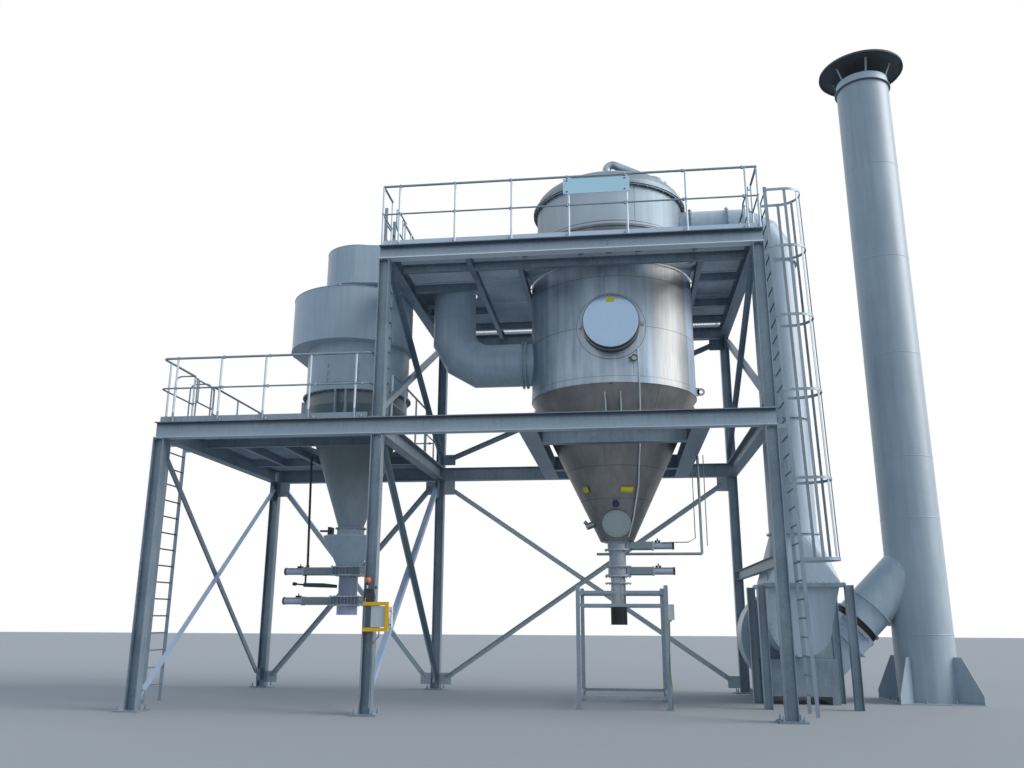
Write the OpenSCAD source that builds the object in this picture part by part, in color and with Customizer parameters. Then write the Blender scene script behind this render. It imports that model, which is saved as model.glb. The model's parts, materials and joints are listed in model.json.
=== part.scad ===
// Dust collection plant: a grey cyclone in front of a round stainless filter vessel, both carried
// in a two-level galvanised steel frame with decks, railings and ladders. The gas goes through the
// cyclone, over a mitred duct into the vessel, down to a fan and out of a free-standing stack.
// Origin: ground point under the centre of the front left column. +X runs along the front row of
// columns, +Y goes from the front row to the back row, +Z is up. Millimetres.

/* [Steel frame] */
// Distance from the left to the middle column row
bay_left = 3905; // [3700:5:4300]
// Distance from the middle to the right column row
bay_right = 6505; // [6400:5:6900]
// Distance from the front to the back column row
frame_depth = 5340; // [5100:5:5700]
// Height of the lower columns, ground to beam underside
lower_col_h = 4500; // [4300:5:4800]
// Height of the upper columns, lower beam top to upper beam underside
upper_col_h = 2895; // [2700:5:3100]
// Column section height, along X
col_h = 190; // [160:5:220]
// Column flange width, along Y
col_b = 180; // [160:5:200]
// Lower beam section height
low_beam_h = 285; // [240:5:320]
// Upper beam section height
up_beam_h = 255; // [220:5:300]
// Beam flange width
beam_b = 200; // [180:5:220]
// Column and beam flange thickness
flange_t = 14; // [10:1:20]
// Column and beam web thickness
web_t = 9; // [6:1:14]
// Base plate side
base_plate = 420; // [380:10:480]
// Base plate thickness
base_plate_t = 25; // [15:1:40]
// Cap plate thickness on each column head
cap_plate_t = 15; // [8:1:25]
// Gap at a bolted beam end
beam_gap = 0.5; // [0.3:0.1:0.9]
// Joist section height
joist_h = 160; // [120:5:180]
// Joist flange width
joist_b = 90; // [70:5:110]
// Joist flange thickness
joist_t = 8; // [6:1:10]
// Brace bar width
brace_w = 100; // [60:5:120]
// Brace bar thickness
brace_t = 10; // [6:1:14]

/* [Decks] */
// Grating thickness
grating_t = 30; // [25:1:40]
// Seam between two grating panels
grating_seam = 5; // [3:1:10]
// Height of the top rail above the beam top
rail_top = 1155; // [1050:5:1250]
// Height of the middle rail above the beam top
rail_mid = 605; // [500:5:700]
// Top rail tube diameter
rail_d = 42; // [34:1:48]
// Railing post diameter
post_d = 38; // [30:1:40]
// Middle rail tube diameter
mid_rail_d = 30; // [24:1:34]
// Toe plate height
toe_h = 100; // [80:5:150]
// Toe plate thickness
toe_t = 6; // [4:1:10]
// Railing line inside the outer edge of the beams
rail_inset = 40; // [30:1:60]

/* [Ladders] */
// Ladder width between stile centres
ladder_w = 600; // [500:10:620]
// Rung pitch
rung_pitch = 300; // [250:5:320]
// Rung diameter
rung_d = 26; // [20:1:32]
// Stile width, across the rungs' direction
stile_w = 60; // [50:1:70]
// Stile thickness
stile_t = 22; // [15:1:26]
// Lean of the right ladder in degrees
ladder_lean = 1.3; // [0:0.1:2]
// Cage flat bar width
cage_bar_w = 50; // [40:1:60]
// Cage flat bar thickness
cage_bar_t = 8; // [5:1:10]

/* [Grey cyclone] */
// Cyclone axis, X
cyclone_x = 2685; // [2600:5:2750]
// Cyclone barrel radius
barrel_r = 1025; // [950:5:1060]
// Largest radius of the inlet scroll
scroll_r = 1390; // [1300:5:1450]
// Outlet head radius
head_r = 750; // [680:5:800]
// Shell thickness of cyclone and ducts
sheet_t = 6; // [4:1:10]
// Dust outlet pipe radius
dust_r = 183; // [150:1:200]

/* [Stainless vessel] */
// Vessel axis, X
vessel_x = 7885; // [7850:5:7920]
// Vessel shell radius
vessel_r = 1600; // [1550:5:1620]
// Radius of the upper shell over the deck
vessel_top_r = 1480; // [1440:5:1500]
// Vessel wall thickness
vessel_t = 8; // [5:1:12]
// Height of the dished lid
lid_h = 600; // [500:10:650]
// Vent nozzle radius
vent_r = 470; // [400:5:500]
// Outlet pipe radius under the vessel
outlet_r = 158; // [130:1:170]

/* [Ducts, fan and stack] */
// Duct radius
duct_r = 430; // [400:5:450]
// Centreline radius of the duct bends
bend_r = 750; // [700:5:850]
// Clean air duct axis, X
clean_x = 11120; // [11080:5:11160]
// Stack axis, X
stack_x = 13600; // [13500:5:13800]
// Stack axis, Y
stack_y = 3940; // [3800:5:4000]
// Stack radius
stack_r = 540; // [500:5:560]
// Stack height under its cap
stack_h = 13100; // [12600:50:13600]
// Rain cap radius
cap_r = 880; // [800:5:900]

/* [Hidden] */
$fn = 64;
fine = 256;
eps = 1;

col_x = [0, bay_left, bay_left + bay_right];
row_y = [0, frame_depth];
mid_y = frame_depth / 2;
low_top = lower_col_h + low_beam_h;
up_base = low_top + upper_col_h;
up_top = up_base + up_beam_h;
low_floor = low_top + grating_t;
up_floor = up_top + grating_t;
edge = beam_b / 2;
right_x = bay_left + bay_right;
cyclone_y = mid_y;
vessel_y = mid_y;

module i_profile(h, b, tf, tw) {
    for (s = [-1, 1])
        translate([s * (h - tf) / 2, 0]) square([tf, b], center = true);
    square([h - tf, tw], center = true);
}

// A bar along Z with its section height along X
module bar_z(x, y, z0, z1, h, b, tf, tw) {
    translate([x, y, z0]) linear_extrude(z1 - z0) i_profile(h, b, tf, tw);
}

// A bar along X, its underside at z
module bar_x(x0, x1, y, z, h, b, tf, tw) {
    translate([x0, y, z + h / 2]) rotate([0, 90, 0]) linear_extrude(x1 - x0) i_profile(h, b, tf, tw);
}

// A bar along Y, its underside at z
module bar_y(x, y0, y1, z, h, b, tf, tw) {
    translate([x, y1, z + h / 2]) rotate([0, 90, -90]) linear_extrude(y1 - y0) i_profile(h, b, tf, tw);
}

// A round bar between two points
module rod(p, q, d) {
    v = q - p;
    len = norm(v);
    translate(p) rotate([0, acos(v.z / len), atan2(v.y, v.x)]) cylinder(h = len, d = d);
}

// A flat bar between two points, its width in the plane that holds the Z axis
module flat_bar(p, q, w, t) {
    v = q - p;
    len = norm(v);
    translate(p) rotate([0, acos(v.z / len), atan2(v.y, v.x)])
        translate([-w / 2, -t / 2, 0]) cube([w, t, len]);
}

// An angle bar between two points: one leg in the plane that holds the Z axis, the other along its
// upper edge, out to the left (1) or the right (-1) of the way from p to q
module angle_bar(p, q, w, t, side) {
    v = q - p;
    len = norm(v);
    section = [[-w / 2, -t / 2], [w / 2, -t / 2], [w / 2, t / 2], [t - w / 2, t / 2], [t - w / 2, w - t / 2],
        [-w / 2, w - t / 2]];
    translate(p) rotate([0, acos(v.z / len), atan2(v.y, v.x)])
        linear_extrude(len) polygon([for (c = section) [c.x, side * c.y]]);
}

module ring(r, t, h) {
    difference() {
        cylinder(h = h, r = r);
        translate([0, 0, -eps]) cylinder(h = h + 2 * eps, r = r - t);
    }
}

anchor_hole_r = 14;
bolt_inset = 60;

module column_plate(x, y, z) {
    translate([x - col_h / 2, y - col_b / 2, z]) cube([col_h, col_b, cap_plate_t]);
}

module lower_column(x, y) {
    bar_z(x, y, base_plate_t, lower_col_h - cap_plate_t, col_h, col_b, flange_t, web_t);
    translate([x, y, 0]) difference() {
        translate([-base_plate / 2, -base_plate / 2, 0]) cube([base_plate, base_plate, base_plate_t]);
        for (sx = [-1, 1], sy = [-1, 1])
            translate([sx * (base_plate / 2 - bolt_inset), sy * (base_plate / 2 - bolt_inset), -eps])
                cylinder(h = base_plate_t + 2 * eps, r = anchor_hole_r);
    }
    column_plate(x, y, lower_col_h - cap_plate_t);
}

module columns() {
    color("#8b97a5") for (x = col_x, y = row_y) lower_column(x, y);
}

module upper_columns() {
    color("#8b97a5") for (x = [bay_left, right_x], y = row_y) {
        bar_z(x, y, low_top + cap_plate_t, up_base - cap_plate_t, col_h, col_b, flange_t, web_t);
        for (z = [low_top, up_base - cap_plate_t]) column_plate(x, y, z);
    }
}

module lower_beams() {
    color("#8b97a5") {
        for (y = row_y)
            bar_x(-edge, right_x + edge, y, lower_col_h, low_beam_h, beam_b, flange_t, web_t);
        for (x = col_x)
            bar_y(x, edge + beam_gap, frame_depth - edge - beam_gap, lower_col_h, low_beam_h, beam_b,
                flange_t, web_t);
    }
}

vessel_beam_b = 300;
vessel_beam_off = 1425;
vessel_trim_off = 1470;

module vessel_beams() {
    color("#8b97a5") {
        for (s = [-1, 1])
            bar_y(vessel_x + s * vessel_beam_off, edge + beam_gap, frame_depth - edge - beam_gap,
                lower_col_h, low_beam_h, vessel_beam_b, flange_t, web_t);
        inner = vessel_beam_off - vessel_beam_b / 2 - beam_gap;
        for (s = [-1, 1])
            bar_x(vessel_x - inner, vessel_x + inner, vessel_y + s * vessel_trim_off, lower_col_h,
                low_beam_h, beam_b, flange_t, web_t);
    }
}

bracket_reach = 1140;
bracket_angles = [90, 180, 270];
bracket_gap = 200;
skin_gap = 0.3;
bracket_off = bracket_reach - joist_b / 2;

module lower_joists() {
    z = low_top - joist_h;
    inner = bracket_off - joist_b / 2 - beam_gap;
    color("#8b97a5") {
        for (s = [-1, 1])
            bar_x(edge + beam_gap, bay_left - edge - beam_gap, cyclone_y + s * bracket_off, z, joist_h,
                joist_b, joist_t, joist_t);
        for (x = [cyclone_x - bracket_off, (cyclone_x - bracket_off) / 2])
            bar_y(x, cyclone_y - inner, cyclone_y + inner, z, joist_h, joist_b, joist_t, joist_t);
        bar_y(bay_left - edge - joist_b / 2 - beam_gap, cyclone_y - inner, cyclone_y + inner, z, joist_h,
            joist_b, joist_t, joist_t);
    }
}

module upper_beams() {
    color("#8b97a5") {
        for (y = row_y)
            bar_x(bay_left - edge, right_x + edge, y, up_base, up_beam_h, beam_b, flange_t, web_t);
        for (x = [bay_left, right_x])
            bar_y(x, edge + beam_gap, frame_depth - edge - beam_gap, up_base, up_beam_h, beam_b,
                flange_t, web_t);
    }
}

joist_left = 5330;
joist_mid = 6230;
joist_right = vessel_x + (vessel_x - joist_mid);
joist_front = 900;
short_joist = 1950;
trim_x = 920;
trim_y = 1450;

module upper_joists() {
    z = up_top - joist_h;
    half = joist_b / 2 + beam_gap;
    color("#8b97a5") {
        bar_y(joist_left, edge + beam_gap, frame_depth - edge - beam_gap, z, joist_h, joist_b, joist_t,
            joist_t);
        for (y = [joist_front, frame_depth - joist_front]) {
            bar_x(bay_left + edge + beam_gap, joist_left - half, y, z, joist_h, joist_b, joist_t, joist_t);
            bar_x(joist_left + half, right_x - edge - beam_gap, y, z, joist_h, joist_b, joist_t, joist_t);
        }
        for (x = [joist_mid, joist_right])
            bar_y(x, joist_front + half, frame_depth - joist_front - half, z, joist_h, joist_b, joist_t,
                joist_t);
        for (y = [short_joist, frame_depth - short_joist]) {
            bar_x(bay_left + edge + beam_gap, joist_left - half, y, z, joist_h, joist_b, joist_t, joist_t);
            bar_x(joist_right + half, right_x - edge - beam_gap, y, z, joist_h, joist_b, joist_t, joist_t);
        }
        for (sx = [-1, 1], sy = [-1, 1]) {
            reach_x = vessel_x - joist_mid - half;
            reach_y = vessel_y - joist_front - half;
            p = [vessel_x + sx * trim_x, vessel_y + sy * reach_y, up_top - joist_h / 2];
            q = [vessel_x + sx * reach_x, vessel_y + sy * (vessel_y - trim_y), up_top - joist_h / 2];
            intersection() {
                flat_bar(p - (q - p) / 4, q + (q - p) / 4, joist_h, 2 * joist_t);
                translate([vessel_x - reach_x, vessel_y - reach_y, z])
                    cube([2 * reach_x, 2 * reach_y, joist_h]);
            }
        }
    }
}

grid_cell = [600, 450];
grid_bar = 60;

// Whether a rectangle lies more than a bar's width outside the kept radius of every hole
function clear_of(x0, x1, y0, y1, holes) = min([for (h = holes)
    norm([max(x0 - h[0], 0, h[0] - x1), max(y0 - h[1], 0, h[1] - y1)]) - h[3]]) > grid_bar;

// One grating panel as a plain grid, with round holes cut for what comes up through the deck; each
// hole has its centre, its radius and the radius within which the plate stays closed
module panel(x0, x1, y0, y1, z, holes) {
    nx = max(1, round((x1 - x0) / grid_cell[0]));
    ny = max(1, round((y1 - y0) / grid_cell[1]));
    dx = (x1 - x0 - grid_bar) / nx;
    dy = (y1 - y0 - grid_bar) / ny;
    difference() {
        translate([x0, y0, z]) cube([x1 - x0, y1 - y0, grating_t]);
        for (i = [0 : nx - 1], j = [0 : ny - 1]) {
            x = x0 + grid_bar + i * dx;
            y = y0 + grid_bar + j * dy;
            if (clear_of(x, x + dx - grid_bar, y, y + dy - grid_bar, holes))
                translate([x, y, z - eps]) cube([dx - grid_bar, dy - grid_bar, grating_t + 2 * eps]);
        }
        for (h = holes)
            translate([h[0], h[1], z - eps]) cylinder(h = grating_t + 2 * eps, r = h[2]);
    }
}

deck_hole = 900;
vessel_hole = vessel_r + 40;

module lower_grating() {
    xs = [rail_inset - edge + post_d, (cyclone_x - bracket_off) / 2, cyclone_x - bracket_off, cyclone_x,
        bay_left - col_h / 2 - 12];
    ys = [rail_inset - edge + post_d, mid_y, frame_depth + edge - rail_inset - post_d];
    color("#7d8894") difference() {
        for (i = [0 : len(xs) - 2], j = [0 : len(ys) - 2])
            panel(xs[i] + grating_seam / 2, xs[i + 1] - grating_seam / 2, ys[j] + grating_seam / 2,
                ys[j + 1] - grating_seam / 2, low_top,
                [[cyclone_x, cyclone_y, deck_hole, bracket_reach + 10]]);
        for (a = bracket_angles)
            translate([cyclone_x, cyclone_y, low_top - eps]) rotate([0, 0, a])
                translate([0, -bracket_gap / 2 - 16, 0])
                    cube([bracket_reach + 10, bracket_gap + 32, grating_t + 2 * eps]);
    }
}

transfer_x = 4680;

module upper_grating() {
    xs = [bay_left - edge + rail_inset + post_d, transfer_x, joist_left, vessel_x - 1050, vessel_x,
        vessel_x + 1050, joist_right, right_x + edge - rail_inset - post_d];
    ys = [rail_inset - edge + post_d, mid_y, frame_depth + edge - rail_inset - post_d];
    color("#7d8894") for (i = [0 : len(xs) - 2], j = [0 : len(ys) - 2])
        panel(xs[i] + grating_seam / 2, xs[i + 1] - grating_seam / 2, ys[j] + grating_seam / 2,
            ys[j + 1] - grating_seam / 2, up_top,
            [[vessel_x, vessel_y, vessel_hole, vessel_hole],
                [transfer_x, mid_y, duct_r + 30, duct_r + 30]]);
}

gusset = 240;
gusset_t = 10;
brace_off = (brace_t + gusset_t) / 2 + beam_gap;

// Braces in a window of width w and height h: gussets with a tail of the given length in its corners,
// and an angle bar on either side of them; low and high are the gussets' heights, turn (1 or -1)
// chooses the side of the first bar
module brace_pair(w, h, low, high, tail, both, turn) {
    reach = gusset + tail;
    for (sx = [0, 1], sz = [0, 1])
        if (both || sx == sz)
            translate([sx * (w - reach - 2 * beam_gap) + beam_gap, 0, sz == 0 ? low : h - high - beam_gap])
                cube([reach, gusset_t, sz == 0 ? gusset : high]);
    x0 = tail + gusset / 2;
    x1 = w - x0;
    for (m = both ? [[-1, x0, x1], [1, x1, x0]] : [[-1, x0, x1]]) {
        v0 = [m[1], gusset_t / 2 + turn * m[0] * brace_off, low + gusset / 2];
        v1 = [m[2], gusset_t / 2 + turn * m[0] * brace_off, h - high / 2];
        angle_bar(v0, v1, brace_w, brace_t, -turn);
    }
}

module wall_y(x, z) {
    translate([x + gusset_t / 2, web_t / 2, z]) rotate([0, 0, 90]) children();
}

module wall_x(x, z) {
    translate([x + col_h / 2, frame_depth - gusset_t / 2, z]) children();
}

strut_z = 2280;

module lower_braces() {
    tall = lower_col_h - cap_plate_t;
    tail = (col_b - web_t) / 2;
    end = col_b / 2 + joint_gap;
    color("#8b97a5") {
        wall_y(0, 0) brace_pair(frame_depth - web_t, tall, 150, 400, tail, true, 1);
        wall_y(bay_left, 0) brace_pair(frame_depth - web_t, tall, 150, 400, tail, true, -1);
        wall_x(0, 0) brace_pair(bay_left - col_h, tall, 100, 300, 0, true, 1);
        wall_x(bay_left, 0) brace_pair(bay_right - col_h, tall, 100, 300, 0, true, 1);
        bar_y(right_x, end + 10, frame_depth - end - 10, strut_z, 180, 120, 8, 8);
        for (y = [end, frame_depth - end - 10])
            translate([right_x - col_h / 2, y, strut_z]) cube([col_h, 10, 180]);
    }
}

module upper_braces() {
    tall = upper_col_h - 2 * cap_plate_t;
    tail = (col_b - web_t) / 2;
    color("#8b97a5") {
        for (m = [[bay_left, -1], [right_x, 1]])
            wall_y(m[0], low_top + cap_plate_t)
                brace_pair(frame_depth - web_t, tall, 60, 260, tail, true, m[1]);
        wall_x(bay_left, low_top + cap_plate_t) brace_pair(bay_right - col_h, tall, 60, 260, 0, false, 1);
    }
}

rail_front = rail_inset - edge;
rail_back = frame_depth + edge - rail_inset;
rail_left = rail_inset - edge;
rail_low_right = bay_left - col_h / 2 - 10 - rail_d;
rail_up_left = bay_left - edge + rail_inset;
rail_up_right = right_x + edge - rail_inset;
corner_r = 80;
joint_gap = 0.2;
foot_t = 10;

// A tube along X with a stretch left out
module tube_run(len, d, cut) {
    if (len_of(cut) == 0)
        rotate([0, 90, 0]) cylinder(h = len, d = d);
    else {
        rotate([0, 90, 0]) cylinder(h = cut[0], d = d);
        translate([cut[1], 0, 0]) rotate([0, 90, 0]) cylinder(h = len - cut[1], d = d);
    }
}

function len_of(v) = len(v);

// A railing along X from the origin: posts with feet, two rails and a toe plate on the +Y side
module rail_run(run, posts, top_cut, mid_cut, toe_more) {
    for (x = posts) {
        translate([x, 0, 0]) cylinder(h = rail_top, d = post_d);
        translate([x - 45, -post_d / 2, 0]) cube([90, post_d, foot_t]);
    }
    translate([0, 0, rail_top]) tube_run(run, rail_d, top_cut);
    translate([0, 0, rail_mid]) tube_run(run, mid_rail_d, mid_cut);
    translate([-toe_more, post_d / 2 - toe_t, 0]) cube([run + 2 * toe_more, toe_t, toe_h]);
}

// A quarter bend that starts at the origin along +X and turns to +Y
module rail_corner(d) {
    translate([0, corner_r, 0]) rotate([0, 0, -90]) rotate_extrude(angle = 90) translate([corner_r, 0])
        circle(d = d);
}

module both_rows() {
    children();
    translate([0, frame_depth, 0]) mirror([0, 1, 0]) children();
}

low_post_pitch = 850;
low_post_first = 270;

module lower_rail_long() {
    run = rail_low_right - rail_left - 2 * corner_r;
    posts = [for (i = [0 : 4]) low_post_first - corner_r + i * (run - 2 * (low_post_first - corner_r)) / 4];
    color("#9aa5b1") both_rows() translate([rail_left + corner_r, rail_front, low_top]) {
        rail_run(run, posts, [], [], corner_r - post_d);
        for (m = [[rail_top, rail_d], [rail_mid, mid_rail_d]]) {
            translate([run, 0, m[0]]) rail_corner(m[1]);
            translate([0, 0, m[0]]) mirror([1, 0, 0]) rail_corner(m[1]);
        }
    }
}

module along_y(x, y, side) {
    translate([x, y, 0]) rotate([0, 0, 90]) mirror([0, side > 0 ? 1 : 0, 0]) children();
}

ladder_left_x = -510;
gate_left_y = [1240, 1240 + ladder_w];
ladder_inner_x = 3700;
inner_y = [660, 660 + ladder_w];
right_y = [730, 730 + ladder_w + 40];
post_off = 110;
gate_off = 60;
gate_w = 700;
gate_h = 430;
gate_z = 660;
gate_d = 30;
sleeve_d = 34;
sleeve_h = 50;
pin_d = 16;
pin_gap = 0.05;
move_gap = 5;

// The two pins of a gate, each on a plate that reaches from the post to the hinge line at the origin
module gate_pins(reach) {
    for (z = [gate_z, gate_z + gate_h]) {
        low = z - sleeve_h / 2 - move_gap;
        translate([0, 0, low]) cylinder(h = sleeve_h + 2 * move_gap, d = pin_d);
        translate([reach > 0 ? 0 : reach, -sleeve_d / 2, low - foot_t]) cube([abs(reach), sleeve_d, foot_t]);
        translate([0, 0, low - foot_t]) cylinder(h = foot_t, d = sleeve_d);
    }
}

// A gate leaf that hangs on two sleeves about the hinge line at the origin and reaches along +Y
module gate_leaf() {
    bend = 90;
    for (z = [0, gate_h]) translate([0, 0, gate_z + z]) {
        translate([0, 0, -sleeve_h / 2]) difference() {
            cylinder(h = sleeve_h, d = sleeve_d);
            translate([0, 0, -eps]) cylinder(h = sleeve_h + 2 * eps, d = pin_d + 2 * pin_gap);
        }
        translate([0, pin_d / 2 + 6, 0]) rotate([-90, 0, 0])
            cylinder(h = gate_w - bend - pin_d / 2 - 6, d = gate_d);
    }
    for (m = [[bend, 180], [gate_h - bend, 0]])
        translate([0, gate_w - bend, gate_z + m[0]]) rotate([90, 0, 90]) rotate([0, 0, m[1] == 0 ? 0 : -90])
            rotate_extrude(angle = 90) translate([bend, 0]) circle(d = gate_d);
    translate([0, gate_w, gate_z + bend]) cylinder(h = gate_h - 2 * bend, d = gate_d);
    translate([0, 60, gate_z]) cylinder(h = gate_h, d = gate_d * 0.8);
}

module at_gate_lower() {
    translate([rail_left + gate_off, gate_left_y[0] - post_off, low_top]) children();
}

module at_gate_inner() {
    translate([rail_up_left + gate_off, inner_y[1] + post_off, up_top]) rotate([0, 0, 180]) children();
}

module at_gate_right() {
    translate([rail_up_right - gate_off, right_y[0] - post_off, up_top]) children();
}

module gate_lower() {
    color("#9aa5b1") at_gate_lower() gate_leaf();
}

module gate_inner() {
    color("#9aa5b1") at_gate_inner() gate_leaf();
}

module gate_right() {
    color("#9aa5b1") at_gate_right() gate_leaf();
}

module lower_rail_short() {
    y0 = rail_front + corner_r;
    y1 = rail_back - corner_r;
    to_gate = gate_left_y[0] - post_off - y0;
    past = gate_left_y[1] + post_off;
    run = y1 - past;
    to_ladder = inner_y[0] - post_off - y0;
    past_in = inner_y[1] + post_off;
    run_in = y1 - past_in;
    color("#9aa5b1") {
        translate([0, 0, low_top]) {
            along_y(rail_left, y0, 1) rail_run(to_gate, [180, to_gate], [], [], 0);
            along_y(rail_left, past, 1) rail_run(run, [0, run / 3, 2 * run / 3, run - 180], [], [], 0);
        }
        at_gate_lower() gate_pins(-gate_off);
        translate([0, 0, low_floor]) {
            along_y(rail_low_right, y0, -1) rail_run_on_grating(to_ladder, [180, to_ladder]);
            along_y(rail_low_right, past_in, -1)
                rail_run_on_grating(run_in, [0, run_in / 4, run_in / 2, 3 * run_in / 4, run_in - 180]);
        }
    }
}

// The same railing where it stands on the grating, so its rails stay level with the others
module rail_run_on_grating(run, posts) {
    for (x = posts) {
        translate([x, 0, 0]) cylinder(h = rail_top - grating_t, d = post_d);
        translate([x - 45, -post_d / 2, 0]) cube([90, post_d, foot_t]);
    }
    translate([0, 0, rail_top - grating_t]) tube_run(run, rail_d, []);
    translate([0, 0, rail_mid - grating_t]) tube_run(run, mid_rail_d, []);
    translate([0, post_d / 2 - toe_t, 0]) cube([run, toe_t, toe_h]);
}

upper_bays = 7;

module upper_rail_long() {
    run = rail_up_right - rail_up_left;
    posts = [for (i = [0 : upper_bays - 1]) 300 + i * (run - 500) / (upper_bays - 1)];
    color("#9aa5b1") both_rows() translate([rail_up_left, rail_front, up_top])
        rail_run(run, concat([0], posts, [run]), [], [], -post_d);
}

duct_clear = 50;

module upper_rail_short() {
    y0 = rail_front + rail_d / 2 + joint_gap;
    y1 = rail_back - rail_d / 2 - joint_gap;
    past = inner_y[1] + post_off;
    past_r = right_y[1] + post_off;
    head_cut = [mid_y - head_r + 100 - past, mid_y + head_r - 100 - past];
    duct_cut = [mid_y - duct_r - duct_clear - past_r, mid_y + duct_r + duct_clear - past_r];
    color("#9aa5b1") translate([0, 0, up_top]) {
        along_y(rail_up_left, y0, 1)
            rail_run(inner_y[0] - post_off - y0, [inner_y[0] - post_off - y0], [], [], 0);
        along_y(rail_up_left, past, 1)
            rail_run(y1 - past, [0, head_cut[0], head_cut[1], (head_cut[1] + y1 - past) / 2], [], head_cut, 0);
        along_y(rail_up_right, y0, -1)
            rail_run(right_y[0] - post_off - y0, [right_y[0] - post_off - y0], [], [], 0);
        along_y(rail_up_right, past_r, -1)
            rail_run(y1 - past_r, [0, duct_cut[0], duct_cut[1], (duct_cut[1] + y1 - past_r) / 2], duct_cut, [],
                0);
    }
    color("#9aa5b1") {
        at_gate_inner() gate_pins(gate_off);
        at_gate_right() gate_pins(gate_off);
    }
}

// A ladder in a plane x = constant, standing at z0
module ladder(y0, y1, z0, z1) {
    for (y = [y0, y1])
        translate([-stile_w / 2, y - stile_t / 2, z0]) cube([stile_w, stile_t, z1 - z0]);
    for (z = [z0 + rung_pitch : rung_pitch : z1 - 50])
        translate([0, y0, z]) rotate([-90, 0, 0]) cylinder(h = y1 - y0, d = rung_d);
}

// A tie from a stile's edge to the edge of a beam
module tie(x0, x1, y, z) {
    translate([min(x0, x1), y - stile_t / 2, z]) cube([abs(x1 - x0), stile_t, 80]);
}

// A hoop that a climber walks through: from the stile's head over to the deck
module walk_through(x, y, run) {
    rad = 120;
    top = low_top + rail_top + 40;
    base = low_floor + beam_gap;
    translate([x, y, base]) cylinder(h = top - rad - base, d = mid_rail_d);
    translate([x + run, y, low_top]) cylinder(h = top - rad - low_top, d = mid_rail_d);
    for (m = [[x + rad, 90], [x + run - rad, 0]])
        translate([m[0], y, top - rad]) rotate([90, 0, 0]) rotate([0, 0, m[1]])
            rotate_extrude(angle = 90) translate([rad, 0]) circle(d = mid_rail_d);
    translate([x + rad, y, top]) rotate([0, 90, 0]) cylinder(h = run - 2 * rad, d = mid_rail_d);
}

module ladder_left() {
    run = rail_left - ladder_left_x;
    color("#9aa5b1") {
        translate([ladder_left_x, 0, 0]) ladder(gate_left_y[0], gate_left_y[1], 0, low_floor);
        for (y = gate_left_y) {
            walk_through(ladder_left_x, y, run);
            tie(ladder_left_x + stile_w / 2 + beam_gap, -edge - joint_gap, y, lower_col_h + 100);
        }
    }
}

module ladder_inner() {
    color("#9aa5b1") {
        translate([ladder_inner_x, 0, 0]) ladder(inner_y[0], inner_y[1], low_floor, up_top + rail_top - 60);
        for (y = inner_y)
            tie(ladder_inner_x + stile_w / 2 + beam_gap, bay_left - edge - joint_gap, y, up_base + 80);
    }
}

ladder_right_x = 10930;
right_ladder_top = up_top + rail_top;
function lean_x(z) = ladder_right_x - z * tan(ladder_lean);

module leaning() {
    translate([ladder_right_x, 0, 0]) rotate([0, -ladder_lean, 0]) 
        translate([0, 0, stile_w / 2 * sin(ladder_lean)]) children();
}

module ladder_right() {
    color("#9aa5b1") {
        leaning() ladder(right_y[0], right_y[1], 0, right_ladder_top);
        for (y = right_y, z = [lower_col_h + 100, up_base + 80])
            tie(right_x + edge + joint_gap, lean_x(z + 80) - stile_w / 2 - beam_gap, y, z);
    }
}

cage_base = 2400;
cage_levels = [0, 1330, 2850, 4200, 5500, 6600];
cage_inner = right_y[1] - right_y[0] + stile_t + 2 * joint_gap;
cage_r = cage_inner / 2 + cage_bar_t;

module cage_plan() {
    difference() {
        union() {
            translate([cage_r, 0]) circle(r = cage_r);
            translate([-stile_w / 2, -cage_r]) square([cage_r + stile_w / 2, 2 * cage_r]);
        }
        translate([cage_r, 0]) circle(r = cage_r - cage_bar_t);
        translate([-stile_w, -cage_r + cage_bar_t]) square([cage_r + stile_w, 2 * (cage_r - cage_bar_t)]);
        translate([cage_r, -joint_gap / 2]) square([cage_r + eps, joint_gap]);
    }
}

module ladder_cage() {
    tall = cage_levels[len(cage_levels) - 1] + cage_bar_w;
    strap_out = sqrt(pow(cage_r - cage_bar_t, 2) - pow(cage_bar_w / 2, 2)) - joint_gap;
    color("#9aa5b1") leaning() translate([0, (right_y[0] + right_y[1]) / 2, cage_base]) {
        for (z = cage_levels) translate([0, 0, z]) linear_extrude(cage_bar_w) cage_plan();
        for (a = [-90, -45, 0, 45, 90])
            translate([cage_r, 0, 0]) rotate([0, 0, a])
                translate([strap_out - cage_bar_t, -cage_bar_w / 2, 0]) cube([cage_bar_t, cage_bar_w, tall]);
    }
}

head_z = [8060, 8880];
scroll_z = [6720, 7800];
barrel_flange_z = 5750;
cone_top_z = 5490;
cone_end_z = 3160;
cone_end_r = 235;
hopper_z = [2430, 2995];
hopper_r = 520;

module at_cyclone() {
    translate([cyclone_x, cyclone_y, 0]) children();
}

function arc(x, r, from, to, n) = [for (i = [0 : n]) let (a = from + (to - from) * i / n)
    [x + r * cos(a), r * sin(a)]];

// Plan of the outlet head: a big and a small arc joined by their common tangents
module head_plan(t) {
    d = transfer_x - cyclone_x;
    a = acos((head_r - duct_r) / d);
    polygon(concat(arc(0, head_r - t, a, 360 - a, 32), arc(d, duct_r - t, -a, a, 20)));
}

module outlet_head() {
    h = head_z[1] - head_z[0];
    neck = head_z[0] - scroll_z[1];
    color("#a3adb5") at_cyclone() {
        translate([0, 0, head_z[0]]) difference() {
            linear_extrude(h) head_plan(0);
            translate([0, 0, sheet_t]) linear_extrude(h - 2 * sheet_t) head_plan(sheet_t);
            for (x = [0, transfer_x - cyclone_x])
                translate([x, 0, -eps]) cylinder(h = sheet_t + 2 * eps, r = duct_r - 2 * sheet_t);
        }
        translate([0, 0, scroll_z[1] + joint_gap]) ring(duct_r + 40, 40, neck - 2 * joint_gap);
    }
}

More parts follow.
